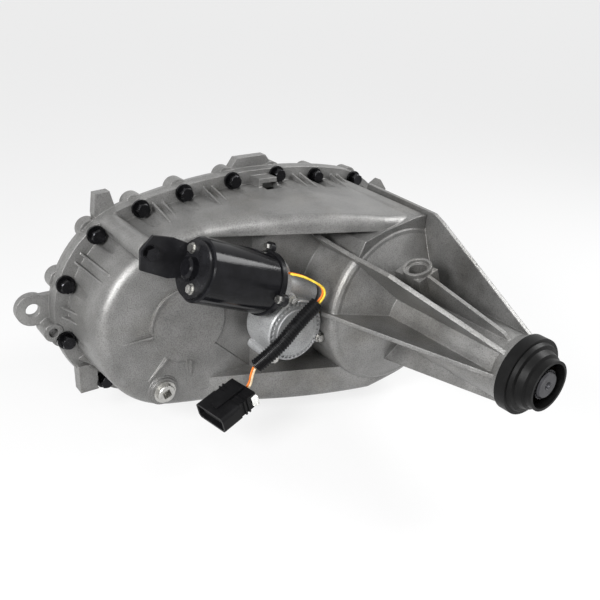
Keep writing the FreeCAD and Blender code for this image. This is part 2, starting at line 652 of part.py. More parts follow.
# ---- gears and chain ----------------------------------------------------------------
def gear_wire(x, teeth, module, external=True, phase=0.0):
    """Closed tooth outline; three radii for each flank follow an involute closely."""
    pitch_r = module * teeth / 2
    side = 1 if external else -1
    steps = ((pitch_r - side * 1.1 * module, 0.315), (pitch_r, 0.225),
             (pitch_r + side * 0.8 * module, 0.125))
    points = []
    for n in range(teeth):
        for sign, order in ((-1, steps), (1, steps[::-1])):
            for r, share in order:
                a = phase + 360.0 / teeth * (n + sign * share)
                y, z = polar(r, a)
                points.append(V(x, y, z))
    return Part.Wire(Part.makePolygon(points + points[:1]))


def gear(x0, x1, teeth, module, phase=0.0):
    return Part.Face(gear_wire(x0, teeth, module, True, phase)).extrude(V(x1 - x0, 0, 0))


def input_shaft():
    body = turned([(2, 0), (2, BEARING_BORE_R), (38, BEARING_BORE_R), (38, 26), (46, 26),
                   (46, 34), (74, 34), (74, 0)])
    body = body.fuse(gear(*GEAR_X, SUN_TEETH, GEAR_MODULE))
    bore = rod(0, 50, 16).fuse(rod(49, 80, PILOT_R + FIT))
    splines = [turn(box(2, 50, 14.5, 17, -1.4, 1.4), 20 * k) for k in range(18)]
    return [joined(body.cut(bore), *splines)]


def annulus_gear():
    blank = Part.Face(Part.Wire(Part.makeCircle(RING_GEAR_R, V(GEAR_X[0] - 2, 0, 0),
                                                V(1, 0, 0))))
    teeth = Part.Face(gear_wire(GEAR_X[0] - 2, RING_TEETH, GEAR_MODULE, False))
    return [blank.cut(teeth).extrude(V(GEAR_X[1] - GEAR_X[0] + 6, 0, 0))]


def planet_centre(k):
    radius = GEAR_MODULE * (SUN_TEETH + PLANET_TEETH) / 2
    return polar(radius, 90 * k)


def planet_gear(k):
    phase = 15.0 if k % 2 == 0 else 0.0
    blank = gear(GEAR_X[0] - 2.8, GEAR_X[1] + 4.8, PLANET_TEETH, GEAR_MODULE, phase)
    blank = blank.cut(rod(40, 90, 5 + FIT))
    y, z = planet_centre(k)
    blank.translate(V(0, y, z))
    return [blank]


def planet_carrier():
    front = ring(GEAR_X[0] - 8, GEAR_X[0] - 3, 62.5, 26 + FIT)
    back = ring(GEAR_X[1] + 5, GEAR_X[1] + 12, 62.5, 36)
    posts = [rod(GEAR_X[0] - 4, GEAR_X[1] + 6, 6.5, *polar(53.4, 45 + 90 * k))
             for k in range(PLANETS)]
    carrier = joined(front, back, *posts)
    for k in range(PLANETS):
        carrier = carrier.cut(rod(30, 90, 5, *planet_centre(k)))
    return [carrier]


def planet_pins():
    return [rod(GEAR_X[0] - 8, GEAR_X[1] + 12, 5, *planet_centre(k)) for k in range(PLANETS)]


def sprocket_wire(x):
    points = []
    for n in range(SPROCKET_TEETH):
        for share, r in ((-0.33, SPROCKET_R - 5.6), (-0.07, SPROCKET_TIP_R),
                         (0.07, SPROCKET_TIP_R), (0.33, SPROCKET_R - 5.6)):
            points.append(V(x, *polar(r, 360.0 / SPROCKET_TEETH * (n + share))))
    return Part.Wire(Part.makePolygon(points + points[:1]))


def sprocket(x0, x1, bore_r, y=0.0):
    wheel = Part.Face(sprocket_wire(x0)).extrude(V(x1 - x0, 0, 0))
    wheel = wheel.cut(rod(x0 - 1, x1 + 1, bore_r))
    wheel.translate(V(0, y, 0))
    return wheel


def chain():
    """Closed band of links; legs by a sprocket are cut back so that its teeth pass."""
    half = SPROCKET_TEETH // 2
    run = (CHAIN_LINKS - SPROCKET_TEETH) // 2
    stations = []
    for n in range(half):
        stations.append((0.0, 0.0, 90 - 360.0 / SPROCKET_TEETH * (n + 0.5), True))
    for n in range(run):
        stations.append((-(n + 0.5) * CHAIN_PITCH, 0.0, 270.0, False))
    for n in range(half):
        stations.append((-SHAFT_CENTRES, 0.0, 270 - 360.0 / SPROCKET_TEETH * (n + 0.5), True))
    for n in range(run):
        stations.append((-SHAFT_CENTRES + (n + 0.5) * CHAIN_PITCH, 0.0, 90.0, False))
    outer = []
    inner = []
    for y, z, angle, curved in stations:
        for side, points in ((outer, ((-0.5, 2.0), (-0.38, 3.6), (0.38, 3.6))),
                             (inner, ((-0.5, -0.9), (-0.13, -4.8), (0.13, -4.8)))):
            for share, lift in points:
                along = -share * CHAIN_PITCH
                away = SPROCKET_R + lift
                a = math.radians(angle)
                if curved:
                    a -= share * 2 * math.pi / SPROCKET_TEETH
                    along = 0.0
                side.append(V(CHAIN_X[0], y + away * math.cos(a) - along * math.sin(a),
                              z + away * math.sin(a) + along * math.cos(a)))
    loop = Part.Face(Part.makePolygon(outer + outer[:1]))
    loop = loop.cut(Part.Face(Part.makePolygon(inner + inner[:1])))
    band = loop.extrude(V(CHAIN_X[1] - CHAIN_X[0], 0, 0))
    for y in (0, -SHAFT_CENTRES):
        band = band.cut(rod(CHAIN_X[0] - 1, CHAIN_X[1] + 1, SPROCKET_TIP_R + GAP, y, 0))
    return [band]


# ---- main shaft and what rides on it ------------------------------------------------
def output_shaft():
    tip = TAIL_SHAFT_X
    shaft = turned([(54, 0), (54, PILOT_R), (76, PILOT_R), (76, SHAFT_R),
                    (REAR_BEARING_X, SHAFT_R), (REAR_BEARING_X, BEARING_BORE_R),
                    (REAR_BEARING_X + BEARING_W, BEARING_BORE_R),
                    (REAR_BEARING_X + BEARING_W, SHAFT_R), (SPLINE_START_X - 20, SHAFT_R),
                    (SPLINE_START_X, TAIL_SHAFT_R - 1.3), (tip - 2, TAIL_SHAFT_R - 1.3),
                    (tip, TAIL_SHAFT_R - 3), (tip, 4.5), (tip - 7, 0)])
    teeth = [turn(box(SPLINE_START_X, tip - 3, 12, TAIL_SHAFT_R, -1.3, 1.3), 15 * k)
             for k in range(24)]
    return [joined(shaft, *teeth)]


def bearing(x0, r_in, r_out, width, y=0.0, balls=9):
    """Inner race, outer race and a ball ring between them."""
    third = (r_out - r_in) / 3.2
    races = [ring(x0, x0 + width, r_in + third, r_in + FIT, y, 0),
             ring(x0, x0 + width, r_out, r_out - third, y, 0)]
    middle = (r_in + r_out) / 2
    ball_r = (r_out - r_in) / 2 - third + 1.2
    for k in range(balls):
        place = polar(middle, 360.0 / balls * k, y)
        races.append(Part.makeSphere(ball_r, V(x0 + width / 2, *place)))
    return [joined(races[0], *races[1:])]


def seal(x0, x1, r_in, r_out, y=0.0):
    lip = r_in + FIT
    return [turned([(x0, r_out), (x0, lip + 2), (x0 + 2, lip), (x0 + 4, lip),
                    (x0 + 4, r_in + 3), (x1 - 1, r_in + 3), (x1 - 1, r_out)], y, 0)]


def range_collar():
    x0, x1 = RANGE_COLLAR_X
    return [collar(x0, x1, 34.0)]


def collar(x0, x1, rim):
    """Sliding collar with the groove that the fork runs in."""
    mid = (x0 + x1) / 2
    low = rim - 6
    half = GROOVE_W / 2
    return turned([(x0, SHAFT_R + FIT), (x0, rim), (mid - half, rim), (mid - half, low),
                   (mid + half, low), (mid + half, rim), (x1, rim), (x1, SHAFT_R + FIT)])


def clutch_housing():
    """Cup behind the drive sprocket with its set of driven discs."""
    cup = [(CUP_X[0], SHAFT_R + 6), (CUP_X[0], 61), (CUP_X[1], 61), (CUP_X[1], 57)]
    x = CUP_X[1] - 2.0
    while x > CUP_X[0] + 8:
        cup += [(x, 57), (x, 30), (x - 2.0, 30), (x - 2.0, 57)]
        x -= PLATE_PITCH
    cup += [(CUP_X[0] + 3, 57), (CUP_X[0] + 3, SHAFT_R + 6)]
    return [turned(cup)]


def clutch_plates():
    """Hub with the driving discs, which lie between the discs of the cup."""
    top = CUP_X[1] + 2.5
    hub = [(CUP_X[0] + 4, SHAFT_R + FIT), (top, SHAFT_R + FIT), (top, 56), (top - 1.9, 56),
           (top - 1.9, 28)]
    x = CUP_X[1] - 2.0 - PLATE_PITCH / 2 - 1 + 0.95
    while x > CUP_X[0] + 8:
        hub += [(x, 28), (x, 56), (x - 1.9, 56), (x - 1.9, 28)]
        x -= PLATE_PITCH
    hub.append((CUP_X[0] + 4, 28))
    return [turned(hub)]


def clutch_coil():
    x0, x1 = COIL_X
    return [turned([(x0, 36), (x0, 42), (x0 + 2, 42), (x0 + 2, 60), (x0, 60), (x0, 66),
                    (x1, 66), (x1, 36)])]


def oil_pump():
    body = ring(PUMP_X[0], PUMP_X[1], 40, SHAFT_R + FIT)
    for k in range(4):
        body = body.fuse(rod(PUMP_X[0] - 1.5, PUMP_X[0] + 1, 3.2, *polar(34, 45 + 90 * k)))
    arm = box(PUMP_X[0], PUMP_X[1], -5, 5, -86, -36)
    tube = Part.makeCylinder(4, 48, V(PUMP_X[0] + 5, 0, -84), V(0, 0, 1))
    return [joined(body.cut(tube), arm.cut(tube))]


def oil_strainer():
    x = PUMP_X[0] + 5
    tray = box(x - 18, x + 18, -20, 20, -96, -86)
    for k in range(5):
        tray = tray.cut(box(x - 15, x + 15, -17 + 7.2 * k, -12 + 7.2 * k, -97, -94))
    return [tray]


def tone_wheel():
    x0, x1 = TONE_X
    wheel = ring(x0, x1, NECK_BORE_R - 2.5, SHAFT_R + FIT)
    for k in range(16):
        wheel = wheel.cut(turn(box(x0 - 1, x1 + 1, 26, 34, -2, 2), 22.5 * k))
    return [wheel]


def snap_ring():
    x = REAR_BEARING_X + BEARING_W + FIT
    loop = ring(x, x + 2, 26, SHAFT_R + FIT)
    return [loop.cut(box(x - 1, x + 3, -3, 3, 10, 40))]


def tail_bushing():
    return [ring(TAIL_X - 28, TAIL_X - 4, TAIL_SEAT_R - FIT, TAIL_SEAT_R - 6)]


def tail_boot():
    """Dust boot: sleeve over the tail's rim, stepped face and a rolled lip."""
    x = TAIL_X
    return [turned([(x - 9, TAIL_R + FIT), (x - 9, 43.6), (x + 4, 43.6), (x + 4, 40),
                    (x + 8, 38), (x + 9, 34), (x + 16, 31.5), (x + 18, 28.6),
                    (x + 25.6, 28.6), (x + 25.6, 25.5), (x + 15, 25.5), (x + 12, 29),
                    (x + 5, 31), (x + 4, 35.5), (x + GAP / 3, 36), (x + GAP / 3, 41),
                    (x, TAIL_R + FIT)])]


# ---- front output -------------------------------------------------------------------
def front_output_shaft():
    y = -SHAFT_CENTRES
    end = FRONT_BEARING_X + BEARING_W
    shaft = turned([(-18, 0), (-18, 10), (-4, 10), (-4, 17.5), (FRONT_BEARING_X, 17.5),
                    (FRONT_BEARING_X, BEARING_BORE_R), (end, BEARING_BORE_R), (end, 29),
                    (end + 6, 29), (end + 6, 21), (NEEDLE_X - 2, 21), (NEEDLE_X - 2, STUB_R),
                    (NEEDLE_X + 16, STUB_R), (NEEDLE_X + 16, 0)], y, 0)
    return [shaft]


def front_output_flange():
    y = -SHAFT_CENTRES
    x0, x1 = YOKE_X
    yoke = turned([(x0, 22), (x0, 52), (x0 + 9, 52), (x0 + 9, 34), (FRONT_BOSS_X - 1, 30),
                   (FRONT_BOSS_X - 1, 26), (x1, 26), (x1, 17.5 + FIT), (-4, 17.5 + FIT),
                   (-4, 22)], y, 0)
    for k in range(4):
        yoke = yoke.cut(rod(x0 - 1, x0 + 10, YOKE_HOLE_R, *polar(YOKE_PCD / 2, 45 + 90 * k, y)))
    return [yoke]


def front_output_nut():
    y = -SHAFT_CENTRES
    nut = hexagon(-16, -5, 15, y, 0).fuse(rod(-6, -4, 20.5, y, 0))
    return [nut.cut(rod(-20, 0, 10 + FIT, y, 0))]


# ---- shift system -------------------------------------------------------------------
def shift_shaft():
    return [rod(SHIFT_FRONT_X, CHAMBER_X[1] - 2, SHIFT_R, SHIFT_Y, SHIFT_Z)]


def pin_angle():
    return math.degrees(math.atan2(RAIL_Z - SHIFT_Z, RAIL_Y - SHIFT_Y))


def cam_groove(x_start, travel):
    """Helical groove cut as short overlapping slots, one for each few degrees."""
    slots = []
    for step in range(-1, CAM_STEPS + 2):
        share = step / CAM_STEPS
        x = x_start + travel * min(max(share, 0), 1)
        slot = Part.makeCylinder(PIN_R + CAM_FIT, 12, V(x, CAM_R - 6, 0), V(0, 1, 0))
        slots.append(turn(slot, pin_angle() - SHIFT_SWEEP * share))
    return slots


def shift_cam():
    cam = rod(CAM_X[0], CAM_X[1], CAM_R).cut(rod(CAM_X[0] - 1, CAM_X[1] + 1, SHIFT_R))
    slots = cam_groove(sum(RANGE_COLLAR_X) / 2, RANGE_TRAVEL)
    slots += cam_groove(sum(MODE_COLLAR_X) / 2, MODE_TRAVEL)
    cam = cam.cut(joined(slots[0], *slots[1:]))
    cam.translate(V(0, SHIFT_Y, SHIFT_Z))
    return [cam]


def shift_fork(x, hub, rim, thick):
    """Fork plate on the rail, reaching half round the collar, with its cam pin."""
    away = math.degrees(math.atan2(RAIL_Z, RAIL_Y))
    plate = ring(x - thick / 2, x + thick / 2, rim + 12, rim - 5.6)
    keep = [(0, 0)] + [polar(90, away + a) for a in (-85, -45, 0, 45, 85)]
    plate = plate.common(plate_yz(keep, x - thick, x + thick))
    arm = box(x - thick / 2, x + thick / 2, rim + 8, math.hypot(RAIL_Y, RAIL_Z) - 6, -9, 9)
    arm = turn(arm, away)
    sleeve = ring(hub[0], hub[1], 13, RAIL_R + FIT, RAIL_Y, RAIL_Z)
    reach = math.hypot(RAIL_Y - SHIFT_Y, RAIL_Z - SHIFT_Z)
    pin = Part.makeCylinder(PIN_R, reach - 11 - CAM_R + 4, V(x, CAM_R - 4, 0), V(0, 1, 0))
    pin = turn(pin, pin_angle())
    pin.translate(V(0, SHIFT_Y, SHIFT_Z))
    arm = arm.cut(rod(x - thick, x + thick, 10, RAIL_Y, RAIL_Z))
    return [joined(sleeve, plate, arm, pin)]


def shift_rail():
    return [rod(FRONT_WALL_X + CASE_WALL + 2, RAIL_END_X, RAIL_R, RAIL_Y, RAIL_Z)]


# ---- shift motor --------------------------------------------------------------------
def worm_middle():
    """How far along the motor's shaft the wheel's centre lies."""
    lean = math.radians(MOTOR_LEAN)
    return ((SHIFT_Y - MOTOR_END[0]) * math.cos(lean) +
            (SHIFT_Z - MOTOR_END[1]) * math.sin(lean))


def wheel_radius():
    lean = math.radians(MOTOR_LEAN)
    apart = abs((SHIFT_Y - MOTOR_END[0]) * math.sin(lean) -
                (SHIFT_Z - MOTOR_END[1]) * math.cos(lean))
    return apart - WORM_R - GAP


def along_motor(shape):
    """Move a piece built along +X at the origin onto the motor's shaft line."""
    placed = shape.copy()
    placed.rotate(V(0, 0, 0), V(0, 0, 1), 90)
    placed.rotate(V(0, 0, 0), V(1, 0, 0), MOTOR_LEAN)
    placed.translate(V(MOTOR_X, *MOTOR_END))
    return placed


def motor_can():
    can = turned([(0, 0), (0, CAN_R - 1.6), (1.6, CAN_R), (CAN_LENGTH, CAN_R),
                  (CAN_LENGTH, CAN_R - 2), (3, CAN_R - 2), (3, 0)])
    boss = turned([(-13, 0), (-13, MOTOR_BOSS_R - 3), (-11, MOTOR_BOSS_R), (1, MOTOR_BOSS_R),
                   (1, 0)])
    can = can.fuse(boss).cut(rod(-10, 4, ARMATURE_R + FIT))
    for r, angle in BRACKET_SCREWS:
        can = can.cut(rod(-1, 4, 2.5 + FIT, *polar(r, angle)))
    return [along_motor(can)]


def motor_armature():
    """Rotor, its shaft and the worm ridges, in one balanced revolve."""
    rotor_end = CAN_LENGTH - 14
    core = [(-9, 0), (-9, ARMATURE_R), (14, ARMATURE_R), (14, 14), (26, 14),
            (26, CAN_R - 9.5), (rotor_end, CAN_R - 9.5), (rotor_end, ARMATURE_R)]
    x = worm_middle() - 15
    core.append((x, ARMATURE_R))
    while x < worm_middle() + 12:
        core += [(x + 1, WORM_R), (x + 2.6, WORM_R), (x + 3.6, ARMATURE_R + 1)]
        x += 6
    core += [(x, ARMATURE_R), (x + 2, ARMATURE_R), (x + 2, 0)]
    return [along_motor(turned(core))]


def motor_flange():
    plate = ring(CAN_LENGTH, CAN_LENGTH + 6, CAN_R + 2, ARMATURE_R + GAP)
    for angle in FLANGE_EARS:
        ear = rod(CAN_LENGTH, CAN_LENGTH + 6, 7, *polar(CAN_R + 5, angle))
        plate = plate.fuse(ear).cut(rod(0, 200, 2.5 + FIT, *polar(CAN_R + 5, angle)))
    return [along_motor(plate)]


def chamber(r, x0, x1):
    return rod(x0, x1, r, SHIFT_Y, SHIFT_Z)


def gear_housing():
    """Die-cast box round the worm wheel with a tube along the worm."""
    low, high = CHAMBER_X
    nose = along_motor(turned([(CAN_LENGTH + 6, 0), (CAN_LENGTH + 6, CAN_R + 1),
                               (CAN_LENGTH + 16, CAN_R - 4), (CAN_LENGTH + 30, 17),
                               (worm_middle() + 20, 14), (worm_middle() + 22, 11),
                               (worm_middle() + 22, 0)]))
    outer = [chamber(CHAMBER_R, low, high), nose]
    places = [polar(COVER_EAR_R, angle, SHIFT_Y, SHIFT_Z) for angle in COVER_EARS]
    outer += [rod(low, high, COVER_EAR_BOSS_R, *place) for place in places]
    back = box(high, MOTOR_X + 2 * CAN_R, -300, 60, -120, 200)
    front = box(MOTOR_X - 2 * CAN_R, low, -300, 60, -120, 200)
    case = joined(outer[0], *outer[1:]).cut(back).cut(front)
    tunnel = along_motor(rod(CAN_LENGTH + 5, worm_middle() + 17, WORM_R + 1))
    wheel_room = chamber(wheel_radius() + 1, low + 5, high + 1)
    bore = chamber(SHIFT_R + FIT, low - 1, high)
    threads = [rod(high - 12, high + 1, 2.5 + FIT, *place) for place in places]
    return [case.cut(joined(tunnel, wheel_room, bore, *threads))]


def worm_wheel():
    points = []
    teeth = 30
    for n in range(teeth):
        for share, r in ((-0.3, wheel_radius() - 3), (-0.12, wheel_radius()),
                         (0.12, wheel_radius()), (0.3, wheel_radius() - 3)):
            points.append(V(MOTOR_X - 8, *polar(r, 360.0 / teeth * (n + share))))
    wheel = Part.Face(Part.makePolygon(points + points[:1])).extrude(V(16, 0, 0))
    wheel = wheel.fuse(rod(CHAMBER_X[0] + 6, CHAMBER_X[1] - 2, 13))
    wheel = wheel.cut(rod(CHAMBER_X[0], CHAMBER_X[1], SHIFT_R))
    wheel.translate(V(0, SHIFT_Y, SHIFT_Z))
    return [wheel]


def encoder_cover():
    """Round cover with a ring of slots and a raised hub, on three ears."""
    x = CHAMBER_X[1]
    top = x + COVER_T
    disc = turned([(x, 0), (x, CHAMBER_R), (top - 1.5, CHAMBER_R), (top - 1, COVER_R + 0.6),
                   (top, COVER_R), (top, 27), (top + 1, 26), (top + 1, 12), (top + 3, 11), (top + 3, 0)])
    parts = [disc]
    for angle in COVER_EARS:
        parts.append(rod(x, top - 1, COVER_EAR_BOSS_R, *polar(COVER_EAR_R, angle)))
    cover = joined(parts[0], *parts[1:])
    slots = []
    for k in range(COVER_SLOTS):
        slots.append(turn(box(top - 1.5, top + 1, 31.5, 35, -1.8, 1.8), 360.0 / COVER_SLOTS * k))
    for angle in COVER_EARS:
        slots.append(rod(x - 1, top + 1, 2.5 + FIT, *polar(COVER_EAR_R, angle)))
        slots.append(rod(top - 1, top + 1, COVER_EAR_BOSS_R, *polar(COVER_EAR_R, angle)))
    slots.append(rod(x - 1, x + 2, SHIFT_R + 6))
    cover = cover.cut(joined(slots[0], *slots[1:]))
    cover.translate(V(0, SHIFT_Y, SHIFT_Z))
    return [cover]


def cover_screws():
    screws = []
    top = CHAMBER_X[1] + COVER_T - 1
    for n, angle in enumerate(COVER_EARS):
        y, z = polar(COVER_EAR_R, angle, SHIFT_Y, SHIFT_Z)
        head = hexagon(top, top + 5, 4.8, y, z, 11 * n).fuse(rod(top, top + 1.2, 6, y, z))
        screws.append(head.fuse(rod(top - 14, top + 1, 2.5, y, z)))
    return screws


def motor_bracket():
    """Bent strap from the boss on the case to the closed end of the motor."""
    y, z = BRACKET_PLACE
    end_y, end_z = MOTOR_END
    outline = [(y - 12, z - 17), (y - 11, z + 4), (y + 4, z + 18), (y + 28, z + 11),
               (end_y + 7.7, end_z + 19.3), (end_y - 5.8, end_z - 14.7), (y + 18, z - 32)]
    leg = plate_yz(outline, BRACKET_X, BRACKET_X + BRACKET_T)
    beyond = rod(0, 3 * CAN_LENGTH, 5 * CAN_R)
    hole = rod(BRACKET_X - 1, BRACKET_X + BRACKET_T + 1, 4 + FIT, y, z)
    leg = leg.cut(along_motor(beyond)).cut(hole)
    face = rod(-BRACKET_T, 0, CAN_R - 4).cut(rod(-9, 1, MOTOR_BOSS_R + GAP))
    for r, angle in BRACKET_SCREWS:
        face = face.cut(rod(-9, 1, 2.5 + FIT, *polar(r, angle)))
        leg = leg.cut(along_motor(rod(-9, 1, 6 + GAP, *polar(r, angle))))
    return [leg.fuse(along_motor(face))]


def bracket_bolt():
    y, z = BRACKET_PLACE
    seat = BRACKET_X + BRACKET_T
    head = hexagon(seat, seat + 6, 7.5, y, z, 10).fuse(rod(seat, seat + 1.5, 8.5, y, z))
    return [head.fuse(rod(BRACKET_X - 20, seat + 1, 4, y, z))]


def motor_screws():
    screws = []
    for r, angle in BRACKET_SCREWS:
        y, z = polar(r, angle)
        head = hexagon(-BRACKET_T - 4.5, -BRACKET_T, 4.8, y, z)
        head = head.fuse(rod(-BRACKET_T - 1.2, -BRACKET_T, 6, y, z))
        screws.append(along_motor(head.fuse(rod(-BRACKET_T - 1, 2, 2.5, y, z))))
    for angle in FLANGE_EARS:
        y, z = polar(CAN_R + 5, angle)
        head = hexagon(CAN_LENGTH - 5, CAN_LENGTH, 4.6, y, z)
        screws.append(along_motor(head.fuse(rod(CAN_LENGTH - 1, CAN_LENGTH + 8, 2.5, y, z))))
    return screws


# ---- harness ------------------------------------------------------------------------
def cord(name, points, r):
    """Round cord: straight runs joined by arcs that touch both runs."""
    corners = [V(*p) for p in points]
    edges = []
    start = corners[0]
    radii = []
    for before, corner, after in zip(corners, corners[1:], corners[2:]):
        back = (before - corner)
        ahead = (after - corner)
        reach = 0.45 * min(back.Length, ahead.Length)
        turn_half = (math.pi - back.getAngle(ahead)) / 2
        radii.append(reach / math.tan(turn_half))
        back.normalize()
        ahead.normalize()
        enter = corner + back * reach
        leave = corner + ahead * reach
        to_middle = (back + ahead).normalize()
        middle = corner + to_middle * (radii[-1] / math.cos(turn_half) - radii[-1])
        edges.append(Part.LineSegment(start, enter).toShape())
        edges.append(Part.Arc(enter, middle, leave).toShape())
        start = leave
    edges.append(Part.LineSegment(start, corners[-1]).toShape())
    path = Part.Wire(edges)
    first = corners[1] - corners[0]
    section = Part.Wire(Part.makeCircle(r, corners[0], first))
    tube = path.makePipeShell([section], True, False)
    print("%s: length %.1f, tightest bend %.1f, volume off by %.2f%%" % (
        name, path.Length, min(radii),
        100 * (tube.Volume / (math.pi * r * r * path.Length) - 1)))
    return tube


def one_wire(name, route, shift):
    """One wire of a pair, moved off the pair's route by (x, y)."""
    shifted = [(x + shift[0], y + shift[1], z) for x, y, z in route]
    return [cord(name, shifted, WIRE_R)]


def on_connector(shape):
    """Place a piece built forward of the origin, along +Y, behind the plug's back face."""
    placed = shape.copy()
    placed.rotate(V(0, 0, 0), V(1, 0, 0), CONNECTOR_TILT)
    placed.rotate(V(0, 0, 0), V(0, 0, 1), CONNECTOR_YAW)
    placed.translate(V(*CONNECTOR_BACK))
    return placed


def plug_block(y0, y1, width, height, corner=0.0):
    """Block along the plug, centred on its axis, with rounded long edges."""
    block = Part.makeBox(width, y1 - y0, height, V(-width / 2, y0, -height / 2))
    if corner:
        block = block.makeFillet(corner, [e for e in block.Edges
                                          if abs(e.BoundBox.YLength - y1 + y0) < 0.01])
    return block


def connector():
    """Wide harness plug with ribs, a latch on top and an open mouth."""
    length, width, height = CONNECTOR_SIZE
    body = plug_block(0.5, length, width - 6, height - 3)
    shroud = plug_block(length - 26, length, width, height, 5.0)
    back = plug_block(0, 8, width - 8, height - 2)
    ribs = [plug_block(12 + 5 * k, 14 + 5 * k, width - 3, height - 1) for k in range(2)]
    latch = Part.makeBox(12, length - 12, 4, V(-6, 4, -height / 2 - 2))
    shell = joined(body, shroud, back, latch, *ribs)
    mouth = plug_block(length - 20, length + 1, width - 5, height - 5, 3.0)
    tongue = plug_block(length - 21, length - 4, width - 13, height - 14)
    return [on_connector(shell.cut(mouth).fuse(tongue))]


def connector_clip():
    """Small lock slide on the side of the plug's back."""
    side = CONNECTOR_SIZE[1] / 2 - 3
    slide = Part.makeBox(3, 6.5, 12, V(side, 0.5, -6))
    hook = Part.makeBox(4.5, 2.5, 12, V(side, 0.5, -6))
    return [on_connector(slide.fuse(hook))]


# ---- the pieces, and how they are kept ----------------------------------------------
PIECES = {
    "rear_case": lambda: [rear_case()],
    "front_case": lambda: [front_case()],
    "case_bolts": case_bolts,
    "drain_plug": drain_plug,
    "input_shaft": input_shaft,
    "annulus_gear": annulus_gear,
    "planet_carrier": lambda: planet_carrier() + planet_pins(),
    "output_shaft": output_shaft,
    "range_collar": range_collar,
    "chain": chain,
    "clutch_housing": clutch_housing,
    "clutch_plates": clutch_plates,
    "clutch_coil": clutch_coil,
    "oil_pump": lambda: [oil_pump()[0].fuse(oil_strainer()[0])],
    "tone_wheel": tone_wheel,
    "snap_ring": snap_ring,
    "tail_bushing": tail_bushing,
    "tail_boot": tail_boot,
    "front_output_shaft": front_output_shaft,
    "front_output_flange": front_output_flange,
    "front_output_nut": front_output_nut,
    "shift_shaft": shift_shaft,
    "shift_cam": shift_cam,
    "shift_rail": shift_rail,
    "motor_can": motor_can,
    "motor_armature": motor_armature,
    "motor_flange": motor_flange,
    "gear_housing": gear_housing,
    "worm_wheel": worm_wheel,
    "encoder_cover": encoder_cover,
    "cover_screws": cover_screws,
    "motor_bracket": motor_bracket,
    "fill_plug": fill_plug,
    "dowel_pins": dowel_pins,
    "sump_magnet": sump_magnet,
    "vent": vent,
    "bracket_bolt": bracket_bolt,
    "motor_screws": motor_screws,
    "connector": connector,
    "connector_clip": connector_clip,
    "wiring_loom": lambda: [cord("wiring_loom", LOOM_ROUTE, LOOM_R)],
    "mode_collar": lambda: [collar(*MODE_COLLAR_X, 34.0)],
    "range_fork": lambda: shift_fork(sum(RANGE_COLLAR_X) / 2, (88, 102), 34.0, 6.0),
    "mode_fork": lambda: shift_fork(sum(MODE_COLLAR_X) / 2, (112, 126), 34.0, 6.0),
    "drive_sprocket": lambda: [sprocket(130, 166, SHAFT_R + FIT)],
    "driven_sprocket": lambda: [sprocket(130, 166, 21, -SHAFT_CENTRES)],
    "input_bearing": lambda: bearing(INPUT_BEARING_X, BEARING_BORE_R, BEARING_R, BEARING_W),
    "rear_bearing": lambda: bearing(REAR_BEARING_X, BEARING_BORE_R, BEARING_R, BEARING_W),
    "front_bearing": lambda: bearing(FRONT_BEARING_X, BEARING_BORE_R, BEARING_R, BEARING_W,
                                     -SHAFT_CENTRES),
    "needle_bearing": lambda: bearing(NEEDLE_X, STUB_R, NEEDLE_R, 14, -SHAFT_CENTRES, 12),
    "input_seal": lambda: seal(3, 14, BEARING_BORE_R, INPUT_SEAL_R),
    "front_output_seal": lambda: seal(FRONT_BOSS_X, 38, 26, INPUT_SEAL_R, -SHAFT_CENTRES),
}
for number in range(PLANETS):
    PIECES["planet_gear_%d" % (number + 1)] = lambda number=number: planet_gear(number)
for number, side in ((1, -WIRE_SPREAD / 2), (2, WIRE_SPREAD / 2)):
    for node, route, shift in (("motor_wire", MOTOR_WIRE_ROUTE, (side, 0)),
                               ("connector_wire", PLUG_WIRE_ROUTE, (side, 0))):
        name = "%s_%d" % (node, number)
        PIECES[name] = lambda name=name, route=route, shift=shift: one_wire(name, route, shift)


if __name__ == "__main__":
    os.makedirs("parts", exist_ok=True)
    for node, make in PIECES.items():
        solids = [solid for shape in make() for solid in shape.Solids]
        shape = solids[0] if len(solids) == 1 else Part.makeCompound(solids)
        low = shape.BoundBox
        print("%-20s %3d solid(s)  valid %s  %9.1f cm3  x %.1f to %.1f" % (
            node, len(solids), shape.isValid(), shape.Volume / 1000, low.XMin, low.XMax))
        shape.exportStep("parts/%s.step" % node)
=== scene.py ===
"""Dress for a two-speed transfer case: finishes, wiring harness, light and camera.

Metres. +X runs along the shafts toward the rear output, +Z is up, and the front output
shaft lies at -Y.
"""
import math

import bmesh
import bpy
from mathutils import Matrix, Vector


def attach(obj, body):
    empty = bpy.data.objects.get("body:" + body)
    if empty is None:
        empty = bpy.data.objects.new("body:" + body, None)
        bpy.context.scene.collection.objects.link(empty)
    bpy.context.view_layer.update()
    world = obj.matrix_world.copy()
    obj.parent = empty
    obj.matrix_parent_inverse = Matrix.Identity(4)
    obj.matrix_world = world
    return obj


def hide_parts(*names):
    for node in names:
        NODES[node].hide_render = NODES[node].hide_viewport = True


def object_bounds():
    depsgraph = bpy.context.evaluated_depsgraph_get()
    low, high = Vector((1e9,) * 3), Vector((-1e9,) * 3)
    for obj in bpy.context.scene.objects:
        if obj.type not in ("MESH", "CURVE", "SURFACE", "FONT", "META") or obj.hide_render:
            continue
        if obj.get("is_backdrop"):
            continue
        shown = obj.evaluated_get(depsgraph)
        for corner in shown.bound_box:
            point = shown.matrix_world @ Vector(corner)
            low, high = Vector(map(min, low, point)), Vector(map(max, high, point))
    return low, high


bl_info = {
    "name": "Transfer Case Dress",
    "version": (1, 0, 0),
    "blender": (4, 5, 0),
    "location": "View3D > Sidebar > Transfer Case",
    "description": "Finishes, wiring harness, light and camera for a transfer case",
    "category": "Object",
}

